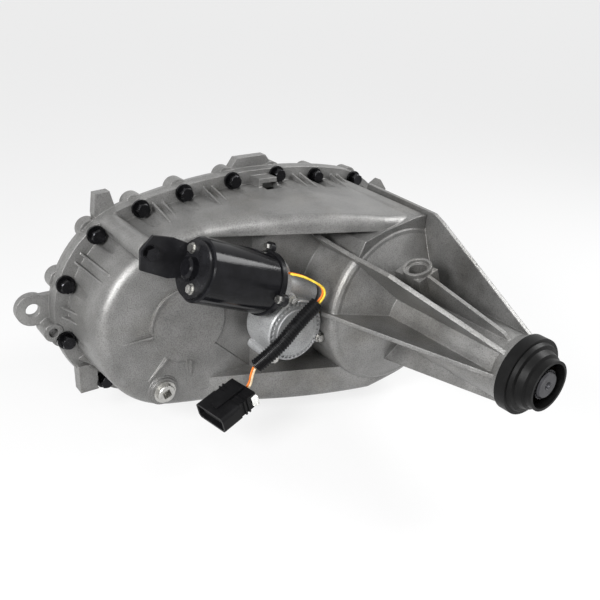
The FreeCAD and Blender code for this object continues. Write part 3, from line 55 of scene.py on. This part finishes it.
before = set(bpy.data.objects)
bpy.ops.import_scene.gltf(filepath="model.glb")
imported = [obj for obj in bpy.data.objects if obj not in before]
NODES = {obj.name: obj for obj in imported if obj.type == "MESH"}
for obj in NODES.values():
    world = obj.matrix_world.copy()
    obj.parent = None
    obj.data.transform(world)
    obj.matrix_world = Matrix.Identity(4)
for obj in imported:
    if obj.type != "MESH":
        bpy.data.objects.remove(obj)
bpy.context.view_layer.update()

# ---- harness routes, metres ---------------------------------------------------------
LOOM_R = 0.0088
RIB_DEPTH = 0.0009
WIRE_R = 0.0013
WIRE_SPREAD = 0.0036
LOOM_ROUTE = [(0.281, -0.122, 0.0275), (0.280, -0.146, 0.010), (0.2786, -0.172, -0.0175),
              (0.270, -0.197, -0.0385)]
MOTOR_WIRE_ROUTE = [(0.2695, -0.155, 0.0675), (0.2755, -0.146, 0.066), (0.2775, -0.136, 0.061),
                    (0.2803, -0.120, 0.0508), (0.2812, -0.113, 0.043),
                    (0.2813, -0.114, 0.0336), (0.281, -0.1212, 0.0281)]
PLUG_WIRE_ROUTE = [(0.2696, -0.1981, -0.0395), (0.2686, -0.2012, -0.0484),
                   (0.2684, -0.2026, -0.061), (0.270, -0.2105, -0.066)]
MOTOR_WIRE_LENGTH = 0.0693
PLUG_WIRE_LENGTH = 0.031

# ---- the loom's ribs and the finishes -----------------------------------------------
RIB_SIDES = 28
STATIONS_PER_RIB = 4
CASTING_EDGE = 0.0016           # rounding of the castings' edges, in their shading
PLASTIC_SPECULAR = 0.11
PAINT_SPECULAR = 0.13

# ---- stage: lamps as name, place, edge length and share of the key's power -----------
LAMP_AIM = (0.2, -0.1, 0.0)
LAMPS = (("Key", (0.68, -1.22, 0.62), 0.45, 1.0),
         ("Fill", (1.10, -0.70, 0.90), 0.6, 0.22),
         ("Back", (0.60, 0.90, 1.00), 0.6, 0.8))
SKY_COLOUR = (0.80, 0.82, 0.85)
SKY_STRENGTH = 0.16
FLOOR_HALF = 200.0
FLOOR_DROP = 0.0005             # the floor lies this far under the object
FLOOR_WHITE_SHARE = 0.8
CAMERA_PLACE = (0.8455, -0.5806, 0.3672)
CAMERA_RIGHT = (0.5901, 0.8058, 0.0494)
CAMERA_AHEAD = (-0.7198, 0.5529, -0.4198)
SENSOR_WIDTH = 36.0

# ---- axes of the turned pieces, as (y, z) -------------------------------------------
MAIN_AXIS = (0.0, 0.0)
FRONT_AXIS = (-0.246, 0.0)
SHIFT_AXIS = (-0.141, -0.0082)


def colour_value(name, text, default):
    return bpy.props.FloatVectorProperty(name=name, description=text, subtype="COLOR",
                                         size=3, min=0.0, max=1.0, default=default)


class FinishSettings(bpy.types.PropertyGroup):
    casting: colour_value("Casting", "Colour of the cast aluminium", (0.22, 0.218, 0.213))
    die_casting: colour_value("Die casting", "Colour of the smooth castings",
                              (0.40, 0.405, 0.41))
    zinc: colour_value("Zinc", "Colour of the plated fasteners", (0.50, 0.495, 0.475))
    black_oxide: colour_value("Black oxide", "Colour of the case bolts",
                              (0.022, 0.022, 0.024))
    steel: colour_value("Steel", "Colour of turned steel", (0.42, 0.42, 0.43))
    dark_steel: colour_value("Dark steel", "Colour of hardened steel", (0.065, 0.065, 0.07))
    iron: colour_value("Iron", "Colour of cast iron", (0.10, 0.10, 0.105))
    bronze: colour_value("Bronze", "Colour of the bushes and worm wheel",
                         (0.45, 0.30, 0.12))
    motor_paint: colour_value("Motor paint", "Gloss paint of the motor can",
                              (0.006, 0.006, 0.007))
    coating: colour_value("Coating", "Matte coat of the bracket and end flange",
                          (0.009, 0.009, 0.010))
    plastic: colour_value("Plastic", "Black moulded plastic", (0.006, 0.006, 0.0065))
    rubber: colour_value("Rubber", "Boot and seal rubber", (0.005, 0.005, 0.005))
    wire_a: colour_value("First wire", "Insulation of the first wire", (0.72, 0.19, 0.03))
    wire_b: colour_value("Second wire", "Insulation of the second wire",
                         (0.75, 0.52, 0.06))
    wire_c: colour_value("Pale wire", "Insulation of the pale wire", (0.62, 0.50, 0.33))
    clip: colour_value("Clip", "Plastic of the clip", (0.75, 0.75, 0.71))
    grain: bpy.props.FloatProperty(name="Casting grain",
                                   description="Depth of the sand-cast skin",
                                   subtype="DISTANCE", unit="LENGTH", default=0.00035)


class HarnessSettings(bpy.types.PropertyGroup):
    loom_radius: bpy.props.FloatProperty(name="Loom radius",
                                         description="Outside of the corrugated loom",
                                         subtype="DISTANCE", unit="LENGTH", default=LOOM_R)
    rib_pitch: bpy.props.FloatProperty(name="Rib pitch",
                                       description="Spacing of the loom's ribs",
                                       subtype="DISTANCE", unit="LENGTH", default=0.0034)
    wire_radius: bpy.props.FloatProperty(name="Wire radius",
                                         description="Outside of one insulated wire",
                                         subtype="DISTANCE", unit="LENGTH", default=WIRE_R)


class StageSettings(bpy.types.PropertyGroup):
    floor: colour_value("Floor", "Colour of the floor", (0.90, 0.90, 0.90))
    key_power: bpy.props.FloatProperty(name="Key light", description="Power of the key lamp",
                                       default=21.0, min=0.0)
    lens: bpy.props.FloatProperty(name="Lens", description="Focal length, millimetres",
                                  default=42.05, min=1.0)


# ---- node helpers -------------------------------------------------------------------
def add_node(tree, kind, **values):
    node = tree.nodes.new(kind)
    for key, value in values.items():
        setattr(node, key, value)
    return node


def link(tree, start, end):
    tree.links.new(start, end)


def object_place(tree):
    return add_node(tree, "ShaderNodeTexCoord").outputs["Object"]


def noise(tree, place, scale, detail=3.0, rough=0.5):
    node = add_node(tree, "ShaderNodeTexNoise")
    node.inputs["Detail"].default_value = detail
    node.inputs["Roughness"].default_value = rough
    link(tree, place, node.inputs["Vector"])
    if isinstance(scale, float):
        node.inputs["Scale"].default_value = scale
    else:
        link(tree, scale, node.inputs["Scale"])
    return node.outputs["Fac"]


def math_node(tree, operation, first, second=None):
    node = add_node(tree, "ShaderNodeMath", operation=operation)
    for slot, value in zip(node.inputs, (first, second)):
        if value is None:
            continue
        if isinstance(value, (int, float)):
            slot.default_value = value
        else:
            link(tree, value, slot)
    return node.outputs[0]


def spread(tree, value, low, high, to_low=0.0, to_high=1.0):
    node = add_node(tree, "ShaderNodeMapRange")
    link(tree, value, node.inputs["Value"])
    for name, number in (("From Min", low), ("From Max", high), ("To Min", to_low),
                         ("To Max", to_high)):
        node.inputs[name].default_value = number
    return node.outputs["Result"]


def blend_colours(tree, factor, first, second):
    node = add_node(tree, "ShaderNodeMix", data_type="RGBA")
    link(tree, factor, node.inputs["Factor"])
    for slot, value in ((node.inputs[6], first), (node.inputs[7], second)):
        slot.default_value = (*value, 1.0)
    return node.outputs[2]


def scaled(colour, share):
    return tuple(min(1.0, part * share) for part in colour)


# ---- shared effects -----------------------------------------------------------------
def effect_group(name, inputs, outputs):
    group = bpy.data.node_groups.get(name)
    if group is not None:
        return group, None, None
    group = bpy.data.node_groups.new(name, "ShaderNodeTree")
    for label, value in inputs:
        socket = group.interface.new_socket(name=label, in_out="INPUT",
                                            socket_type="NodeSocketFloat")
        socket.default_value = value
    for label in outputs:
        group.interface.new_socket(name=label, in_out="OUTPUT",
                                   socket_type="NodeSocketFloat")
    start = group.nodes.new("NodeGroupInput")
    end = group.nodes.new("NodeGroupOutput")
    return group, start, end


def cast_skin_group():
    """Sand-cast skin: fine grain, shallow pits and broad patches."""
    group, start, end = effect_group("Cast skin", [("Grain scale", 900.0),
                                                   ("Patch scale", 26.0)],
                                     ["Patches", "Height", "Stain", "Speckle"])
    if start is None:
        return group
    place = object_place(group)
    fine = noise(group, place, start.outputs["Grain scale"], 4.0, 0.65)
    broad = noise(group, place, start.outputs["Patch scale"], 4.0, 0.6)
    pits = add_node(group, "ShaderNodeTexVoronoi", feature="F1")
    pits.inputs["Scale"].default_value = 420.0
    link(group, place, pits.inputs["Vector"])
    pit_depth = spread(group, pits.outputs["Distance"], 0.0, 0.35)
    height = math_node(group, "MULTIPLY", fine, pit_depth)
    link(group, spread(group, broad, 0.3, 0.7), end.inputs["Patches"])
    link(group, height, end.inputs["Height"])
    dots = noise(group, place, 780.0, 2.0, 0.7)
    link(group, spread(group, dots, 0.45, 0.75), end.inputs["Speckle"])
    stain = noise(group, place, 9.0, 5.0, 0.6)
    link(group, spread(group, stain, 0.52, 0.74), end.inputs["Stain"])
    return group


def lathe_group():
    """Fine rings left by turning, about a line along X."""
    group, start, end = effect_group("Lathe rings", [("Axis Y", 0.0), ("Axis Z", 0.0),
                                                     ("Rings per metre", 1500.0)],
                                     ["Height", "Streak"])
    if start is None:
        return group
    place = object_place(group)
    parts = add_node(group, "ShaderNodeSeparateXYZ")
    link(group, place, parts.inputs[0])
    off_y = math_node(group, "SUBTRACT", parts.outputs["Y"], start.outputs["Axis Y"])
    off_z = math_node(group, "SUBTRACT", parts.outputs["Z"], start.outputs["Axis Z"])
    square = math_node(group, "ADD", math_node(group, "MULTIPLY", off_y, off_y),
                       math_node(group, "MULTIPLY", off_z, off_z))
    reach = math_node(group, "SQRT", square)
    along = math_node(group, "ADD", reach, parts.outputs["X"])
    turns = math_node(group, "MULTIPLY", along, start.outputs["Rings per metre"])
    wave = math_node(group, "SINE", math_node(group, "MULTIPLY", turns, 2 * math.pi))
    link(group, wave, end.inputs["Height"])
    streak = add_node(group, "ShaderNodeCombineXYZ")
    link(group, math_node(group, "MULTIPLY", along, 900.0), streak.inputs[0])
    link(group, noise(group, streak.outputs[0], 1.0, 2.0), end.inputs["Streak"])
    return group


def dust_group():
    """Thin handling dirt, used on the turned, plated, painted and moulded finishes."""
    group, start, end = effect_group("Handling dirt", [("Scale", 35.0)], ["Dirt"])
    if start is None:
        return group
    place = object_place(group)
    value = noise(group, place, start.outputs["Scale"], 6.0, 0.65)
    link(group, spread(group, value, 0.45, 0.75), end.inputs["Dirt"])
    return group


def use_group(tree, group, **values):
    node = tree.nodes.new("ShaderNodeGroup")
    node.node_tree = group
    for name, value in values.items():
        node.inputs[name.replace("_", " ")].default_value = value
    return node


# ---- materials ----------------------------------------------------------------------
def start_material(name, roughness, metallic, **sockets):
    material = bpy.data.materials.new(name)
    material.use_nodes = True
    tree = material.node_tree
    shader = tree.nodes["Principled BSDF"]
    shader.inputs["Roughness"].default_value = roughness
    shader.inputs["Metallic"].default_value = metallic
    for key, value in sockets.items():
        shader.inputs[key.replace("_", " ")].default_value = value
    return material, tree, shader


def bump(tree, shader, height, depth, edge=0.0):
    node = add_node(tree, "ShaderNodeBump")
    if edge:
        soft = add_node(tree, "ShaderNodeBevel", samples=6)
        soft.inputs["Radius"].default_value = edge
        link(tree, soft.outputs["Normal"], node.inputs["Normal"])
    node.inputs["Distance"].default_value = depth
    node.inputs["Strength"].default_value = 1.0
    link(tree, height, node.inputs["Height"])
    link(tree, node.outputs["Normal"], shader.inputs["Normal"])


def casting_material(name, colour, grain, metallic=0.55, roughness=0.36):
    material, tree, shader = start_material(name, roughness, metallic)
    skin = use_group(tree, cast_skin_group())
    tint = blend_colours(tree, skin.outputs["Patches"], scaled(colour, 0.76),
                         scaled(colour, 1.22))
    darken = add_node(tree, "ShaderNodeMix", data_type="RGBA", blend_type="MULTIPLY")
    link(tree, skin.outputs["Stain"], darken.inputs["Factor"])
    link(tree, tint, darken.inputs[6])
    darken.inputs[7].default_value = (0.80, 0.78, 0.74, 1.0)
    speckle = add_node(tree, "ShaderNodeMix", data_type="RGBA", blend_type="MULTIPLY")
    link(tree, skin.outputs["Speckle"], speckle.inputs["Factor"])
    link(tree, darken.outputs[2], speckle.inputs[6])
    speckle.inputs[7].default_value = (0.45, 0.45, 0.45, 1.0)
    link(tree, speckle.outputs[2], shader.inputs["Base Color"])
    link(tree, spread(tree, skin.outputs["Patches"], 0.0, 1.0, roughness - 0.07,
                      roughness + 0.08), shader.inputs["Roughness"])
    bump(tree, shader, skin.outputs["Height"], grain, CASTING_EDGE)
    return material


def turned_material(name, colour, axis, roughness=0.28):
    material, tree, shader = start_material(name, roughness, 1.0)
    rings = use_group(tree, lathe_group(), Axis_Y=axis[0], Axis_Z=axis[1])
    tint = blend_colours(tree, rings.outputs["Streak"], scaled(colour, 0.8),
                         scaled(colour, 1.15))
    link(tree, tint, shader.inputs["Base Color"])
    dirt = use_group(tree, dust_group(), Scale=60.0)
    link(tree, spread(tree, dirt.outputs["Dirt"], 0.0, 1.0, roughness - 0.06,
                      roughness + 0.14), shader.inputs["Roughness"])
    bump(tree, shader, rings.outputs["Height"], 0.00002)
    return material


def plated_material(name, colour, roughness=0.30):
    material, tree, shader = start_material(name, roughness, 0.95)
    dirt = use_group(tree, dust_group(), Scale=140.0)
    tint = blend_colours(tree, dirt.outputs["Dirt"], colour, scaled(colour, 0.62))
    link(tree, tint, shader.inputs["Base Color"])
    link(tree, spread(tree, dirt.outputs["Dirt"], 0.0, 1.0, roughness - 0.05,
                      roughness + 0.2), shader.inputs["Roughness"])
    bump(tree, shader, noise(tree, object_place(tree), 2200.0, 2.0), 0.00005)
    return material


def painted_material(name, colour, roughness, peel=0.00006):
    material, tree, shader = start_material(name, roughness, 0.0,
                                            Specular_IOR_Level=PAINT_SPECULAR)
    dirt = use_group(tree, dust_group(), Scale=55.0)
    tint = blend_colours(tree, dirt.outputs["Dirt"], colour, scaled(colour, 1.9))
    link(tree, tint, shader.inputs["Base Color"])
    link(tree, spread(tree, dirt.outputs["Dirt"], 0.0, 1.0, roughness,
                      roughness + 0.12), shader.inputs["Roughness"])
    bump(tree, shader, noise(tree, object_place(tree), 700.0, 3.0), peel)
    return material


def moulded_material(name, colour, roughness=0.5, grain=0.00006, scale=1600.0):
    material, tree, shader = start_material(name, roughness, 0.0,
                                            Specular_IOR_Level=PLASTIC_SPECULAR)
    dirt = use_group(tree, dust_group(), Scale=90.0)
    tint = blend_colours(tree, dirt.outputs["Dirt"], colour, scaled(colour, 1.5))
    link(tree, tint, shader.inputs["Base Color"])
    link(tree, spread(tree, dirt.outputs["Dirt"], 0.0, 1.0, roughness - 0.05,
                      roughness + 0.1), shader.inputs["Roughness"])
    bump(tree, shader, noise(tree, object_place(tree), scale, 3.0), grain)
    return material


def dress(material, *nodes):
    for name in nodes:
        mesh = NODES[name].data
        mesh.materials.clear()
        mesh.materials.append(material)


# ---- harness pieces -----------------------------------------------------------------
def route_curve(name, route, radius=0.0):
    curve = bpy.data.curves.new(name, "CURVE")
    curve.dimensions = "3D"
    curve.bevel_depth = radius
    curve.bevel_resolution = 4
    curve.use_fill_caps = True
    spline = curve.splines.new("NURBS")
    spline.points.add(len(route) - 1)
    for point, place in zip(spline.points, route):
        point.co = (*place, 1.0)
    spline.order_u = 3
    spline.use_endpoint_u = True
    spline.resolution_u = 24
    piece = bpy.data.objects.new(name, curve)
    bpy.context.scene.collection.objects.link(piece)
    return piece


def route_points(name, route):
    """Points along the route's smooth line."""
    guide = route_curve(name, route)
    bpy.context.view_layer.update()
    graph = bpy.context.evaluated_depsgraph_get()
    mesh = bpy.data.meshes.new_from_object(guide.evaluated_get(graph))
    points = [vertex.co.copy() for vertex in mesh.vertices]
    bpy.data.objects.remove(guide)
    bpy.data.meshes.remove(mesh)
    return points


def stations(points, step):
    """Places at even steps along a line, each with the line's direction there."""
    found = [(points[0], (points[1] - points[0]).normalized())]
    walked = 0.0
    for start, end in zip(points, points[1:]):
        run = end - start
        length = run.length
        while walked + length >= step:
            share = (step - walked) / length
            start = start + run * share
            run = end - start
            length = run.length
            found.append((start.copy(), (end - start).normalized() if length else
                          found[-1][1]))
            walked = 0.0
            if length == 0.0:
                break
        walked += length
    return found


def corrugated_tube(name, points, radius, pitch):
    """Tube with square-shouldered ribs, closed at both ends."""
    mesh = bmesh.new()
    rings = []
    low = radius - RIB_DEPTH
    profile = (radius, radius, low, low)
    places = stations(points, pitch / STATIONS_PER_RIB)
    for number, (place, ahead) in enumerate(places):
        turn = ahead.to_track_quat("Z", "Y").to_matrix().to_4x4()
        made = bmesh.ops.create_circle(mesh, cap_ends=False, segments=RIB_SIDES,
                                       radius=profile[number % STATIONS_PER_RIB],
                                       matrix=Matrix.Translation(place) @ turn)
        rings.append([e for e in mesh.edges if e.verts[0] in made["verts"]])
    for first, second in zip(rings, rings[1:]):
        bmesh.ops.bridge_loops(mesh, edges=first + second)
    bmesh.ops.contextual_create(mesh, geom=rings[0])
    bmesh.ops.contextual_create(mesh, geom=rings[-1])
    bmesh.ops.recalc_face_normals(mesh, faces=mesh.faces)
    data = bpy.data.meshes.new(name)
    mesh.to_mesh(data)
    mesh.free()
    piece = bpy.data.objects.new(name, data)
    bpy.context.scene.collection.objects.link(piece)
    return piece


def shifted(route, across):
    return [(x + across, y, z) for x, y, z in route]


# ---- operators ----------------------------------------------------------------------
class TCASE_OT_castings(bpy.types.Operator):
    """Give the case halves and smooth castings their skin"""
    bl_idname = "tcase.castings"
    bl_label = "Castings"

    def execute(self, context):
        look = context.scene.tcase_finish
        dress(casting_material("Cast aluminium", look.casting, look.grain), "front_case",
              "rear_case")
        dress(casting_material("Die casting", look.die_casting, look.grain * 0.4, 0.4, 0.38),
              "gear_housing", "encoder_cover", "oil_pump", "range_fork", "mode_fork")
        dress(casting_material("Cast iron", look.iron, look.grain, 0.6, 0.5),
              "front_output_flange")
        return {"FINISHED"}


class TCASE_OT_steel(bpy.types.Operator):
    """Give shafts, gears, bearings and fasteners their metal"""
    bl_idname = "tcase.steel"
    bl_label = "Shafts, gears and fasteners"

    def execute(self, context):
        look = context.scene.tcase_finish
        dress(turned_material("Turned steel, main", look.steel, MAIN_AXIS), "input_shaft",
              "input_bearing", "rear_bearing", "clutch_housing",
              "planet_gear_1", "planet_gear_2", "planet_gear_3", "planet_gear_4")
        dress(turned_material("Turned steel, front", look.steel, FRONT_AXIS),
              "front_output_shaft", "front_bearing", "needle_bearing")
        dress(turned_material("Turned steel, shift", look.steel, SHIFT_AXIS),
              "shift_shaft", "shift_rail", "motor_armature", "vent", "dowel_pins")
        dress(turned_material("Hardened steel, main", look.dark_steel, MAIN_AXIS, 0.36),
              "output_shaft", "annulus_gear", "planet_carrier", "range_collar", "mode_collar",
              "drive_sprocket", "clutch_plates", "tone_wheel", "snap_ring", "chain")
        dress(turned_material("Hardened steel, front", look.dark_steel, FRONT_AXIS, 0.36),
              "driven_sprocket", "sump_magnet")
        dress(turned_material("Hardened steel, shift", look.dark_steel, SHIFT_AXIS, 0.36),
              "shift_cam")
        dress(turned_material("Bronze, main", look.bronze, MAIN_AXIS, 0.34), "tail_bushing")
        dress(turned_material("Bronze, shift", look.bronze, SHIFT_AXIS, 0.34), "worm_wheel")
        dress(plated_material("Zinc plate", look.zinc), "drain_plug", "fill_plug",
              "cover_screws", "motor_screws", "front_output_nut")
        dress(plated_material("Black oxide", look.black_oxide, 0.26), "case_bolts",
              "bracket_bolt")
        return {"FINISHED"}


class TCASE_OT_motor(bpy.types.Operator):
    """Paint the shift motor and colour the rubber and moulded pieces"""
    bl_idname = "tcase.motor"
    bl_label = "Motor, boot and covers"

    def execute(self, context):
        look = context.scene.tcase_finish
        dress(painted_material("Motor paint", look.motor_paint, 0.06),
              "motor_can", "clutch_coil")
        dress(painted_material("Matte coat", look.coating, 0.20, 0.00005), "motor_bracket",
              "motor_flange")
        dress(moulded_material("Black plastic", look.plastic, 0.42), "connector")
        dress(moulded_material("Clip plastic", look.clip, 0.4), "connector_clip")
        dress(moulded_material("Rubber", look.rubber, 0.44, 0.00004, 900.0), "tail_boot",
              "input_seal", "front_output_seal")
        return {"FINISHED"}


class TCASE_OT_harness(bpy.types.Operator):
    """Lay the corrugated loom and the wires at its two ends"""
    bl_idname = "tcase.harness"
    bl_label = "Wiring harness"

    def execute(self, context):
        look = context.scene.tcase_finish
        sizes = context.scene.tcase_harness
        points = route_points("loom_guide", LOOM_ROUTE)
        loom = corrugated_tube("loom", points, sizes.loom_radius, sizes.rib_pitch)
        loom.data.materials.append(moulded_material("Loom plastic", look.plastic, 0.28))
        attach(loom, "case")
        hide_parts("wiring_loom")
        first = moulded_material("First wire", look.wire_a, 0.35)
        second = moulded_material("Second wire", look.wire_b, 0.35)
        pale = moulded_material("Pale wire", look.wire_c, 0.35)
        half = WIRE_SPREAD / 2
        runs = (("motor_wire_1", shifted(MOTOR_WIRE_ROUTE, -half), MOTOR_WIRE_LENGTH, first,
                 "object", ()),
                ("motor_wire_2", shifted(MOTOR_WIRE_ROUTE, half), MOTOR_WIRE_LENGTH, second,
                 "object", ()),
                ("connector_wire_1", shifted(PLUG_WIRE_ROUTE, -half), PLUG_WIRE_LENGTH,
                 first, "connector", (NODES["connector"], NODES["connector_clip"])),
                ("connector_wire_2", shifted(PLUG_WIRE_ROUTE, half), PLUG_WIRE_LENGTH,
                 pale, "object", ()))
        for node, route, length, material, end, riders in runs:
            wire = route_curve(node + "_line", route, sizes.wire_radius)
            wire.data.materials.append(material)
            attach(wire, "case")
            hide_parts(node)
        return {"FINISHED"}


class TCASE_OT_stage(bpy.types.Operator):
    """Set the floor, the lamps and the camera"""
    bl_idname = "tcase.stage"
    bl_label = "Stage"

    def execute(self, context):
        look = context.scene.tcase_stage
        low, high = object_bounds()
        lay_floor(Vector(low).z, look.floor)
        set_world(context.scene)
        for name, place, size, share in LAMPS:
            hang_lamp(name, Vector(place), size, look.key_power * share)
        set_camera(context.scene, look.lens)
        return {"FINISHED"}


def lay_floor(height, colour):
    mesh = bmesh.new()
    bmesh.ops.create_grid(mesh, x_segments=1, y_segments=1, size=FLOOR_HALF,
                          matrix=Matrix.Translation((0.2, -0.1, height - FLOOR_DROP)))
    data = bpy.data.meshes.new("floor")
    mesh.to_mesh(data)
    mesh.free()
    floor = bpy.data.objects.new("floor", data)
    bpy.context.scene.collection.objects.link(floor)
    floor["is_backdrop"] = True
    material = bpy.data.materials.new("Floor")
    material.use_nodes = True
    tree = material.node_tree
    matte = tree.nodes["Principled BSDF"]
    matte.inputs["Base Color"].default_value = (*colour, 1.0)
    matte.inputs["Roughness"].default_value = 0.9
    pale = add_node(tree, "ShaderNodeEmission")
    pale.inputs["Color"].default_value = (1.0, 1.0, 1.0, 1.0)
    mix = add_node(tree, "ShaderNodeMixShader")
    link(tree, math_node(tree, "MULTIPLY", seen_directly(tree), FLOOR_WHITE_SHARE),
         mix.inputs[0])
    link(tree, matte.outputs[0], mix.inputs[1])
    link(tree, pale.outputs[0], mix.inputs[2])
    link(tree, mix.outputs[0], tree.nodes["Material Output"].inputs[0])
    floor.data.materials.append(material)


def seen_directly(tree):
    """One where a ray comes from the camera, or from a mirror or glass."""
    path = add_node(tree, "ShaderNodeLightPath")
    seen = math_node(tree, "MAXIMUM", path.outputs["Is Camera Ray"],
                     path.outputs["Is Glossy Ray"])
    return math_node(tree, "MAXIMUM", seen, path.outputs["Is Transmission Ray"])


def set_world(scene):
    world = bpy.data.worlds.new("Studio")
    scene.world = world
    world.use_nodes = True
    tree = world.node_tree
    for node in list(tree.nodes):
        tree.nodes.remove(node)
    light = add_node(tree, "ShaderNodeBackground")
    light.inputs["Color"].default_value = (*SKY_COLOUR, 1.0)
    light.inputs["Strength"].default_value = SKY_STRENGTH
    white = add_node(tree, "ShaderNodeBackground")
    white.inputs["Color"].default_value = (1.0, 1.0, 1.0, 1.0)
    mix = add_node(tree, "ShaderNodeMixShader")
    end = add_node(tree, "ShaderNodeOutputWorld")
    link(tree, seen_directly(tree), mix.inputs[0])
    link(tree, light.outputs[0], mix.inputs[1])
    link(tree, white.outputs[0], mix.inputs[2])
    link(tree, mix.outputs[0], end.inputs[0])


def hang_lamp(name, place, size, power):
    data = bpy.data.lights.new(name, "AREA")
    data.shape = "SQUARE"
    data.size = size
    data.energy = power
    lamp = bpy.data.objects.new(name, data)
    lamp.location = place
    lamp.rotation_euler = (Vector(LAMP_AIM) - place).to_track_quat("-Z", "Y").to_euler()
    lamp.visible_camera = False
    bpy.context.scene.collection.objects.link(lamp)


def set_camera(scene, lens):
    data = bpy.data.cameras.new("Camera")
    data.lens = lens
    data.sensor_width = SENSOR_WIDTH
    data.clip_start = 0.01
    camera = bpy.data.objects.new("Camera", data)
    ahead = Vector(CAMERA_AHEAD).normalized()
    up = Vector(CAMERA_RIGHT).cross(ahead).normalized()
    right = ahead.cross(up)
    turn = Matrix((right, up, -ahead)).transposed().to_4x4()
    camera.matrix_world = Matrix.Translation(CAMERA_PLACE) @ turn
    scene.collection.objects.link(camera)
    scene.camera = camera
    scene.view_settings.view_transform = "Standard"


class TCASE_PT_panel(bpy.types.Panel):
    bl_idname = "TCASE_PT_panel"
    bl_label = "Transfer Case"
    bl_space_type = "VIEW_3D"
    bl_region_type = "UI"
    bl_category = "Transfer Case"

    def draw(self, context):
        for step in STEPS:
            self.layout.operator(step.bl_idname)


STEPS = (TCASE_OT_castings, TCASE_OT_steel, TCASE_OT_motor, TCASE_OT_harness,
         TCASE_OT_stage)
GROUPS = (("tcase_finish", FinishSettings), ("tcase_harness", HarnessSettings),
          ("tcase_stage", StageSettings))


def register():
    for name, kind in GROUPS:
        bpy.utils.register_class(kind)
        setattr(bpy.types.Scene, name, bpy.props.PointerProperty(type=kind))
    for step in STEPS:
        bpy.utils.register_class(step)
    bpy.utils.register_class(TCASE_PT_panel)


def unregister():
    bpy.utils.unregister_class(TCASE_PT_panel)
    for step in reversed(STEPS):
        bpy.utils.unregister_class(step)
    for name, kind in reversed(GROUPS):
        delattr(bpy.types.Scene, name)
        bpy.utils.unregister_class(kind)


def main():
    register()
    bpy.ops.tcase.castings()
    bpy.ops.tcase.steel()
    bpy.ops.tcase.motor()
    bpy.ops.tcase.harness()
    bpy.ops.tcase.stage()


if __name__ == "__main__":
    main()
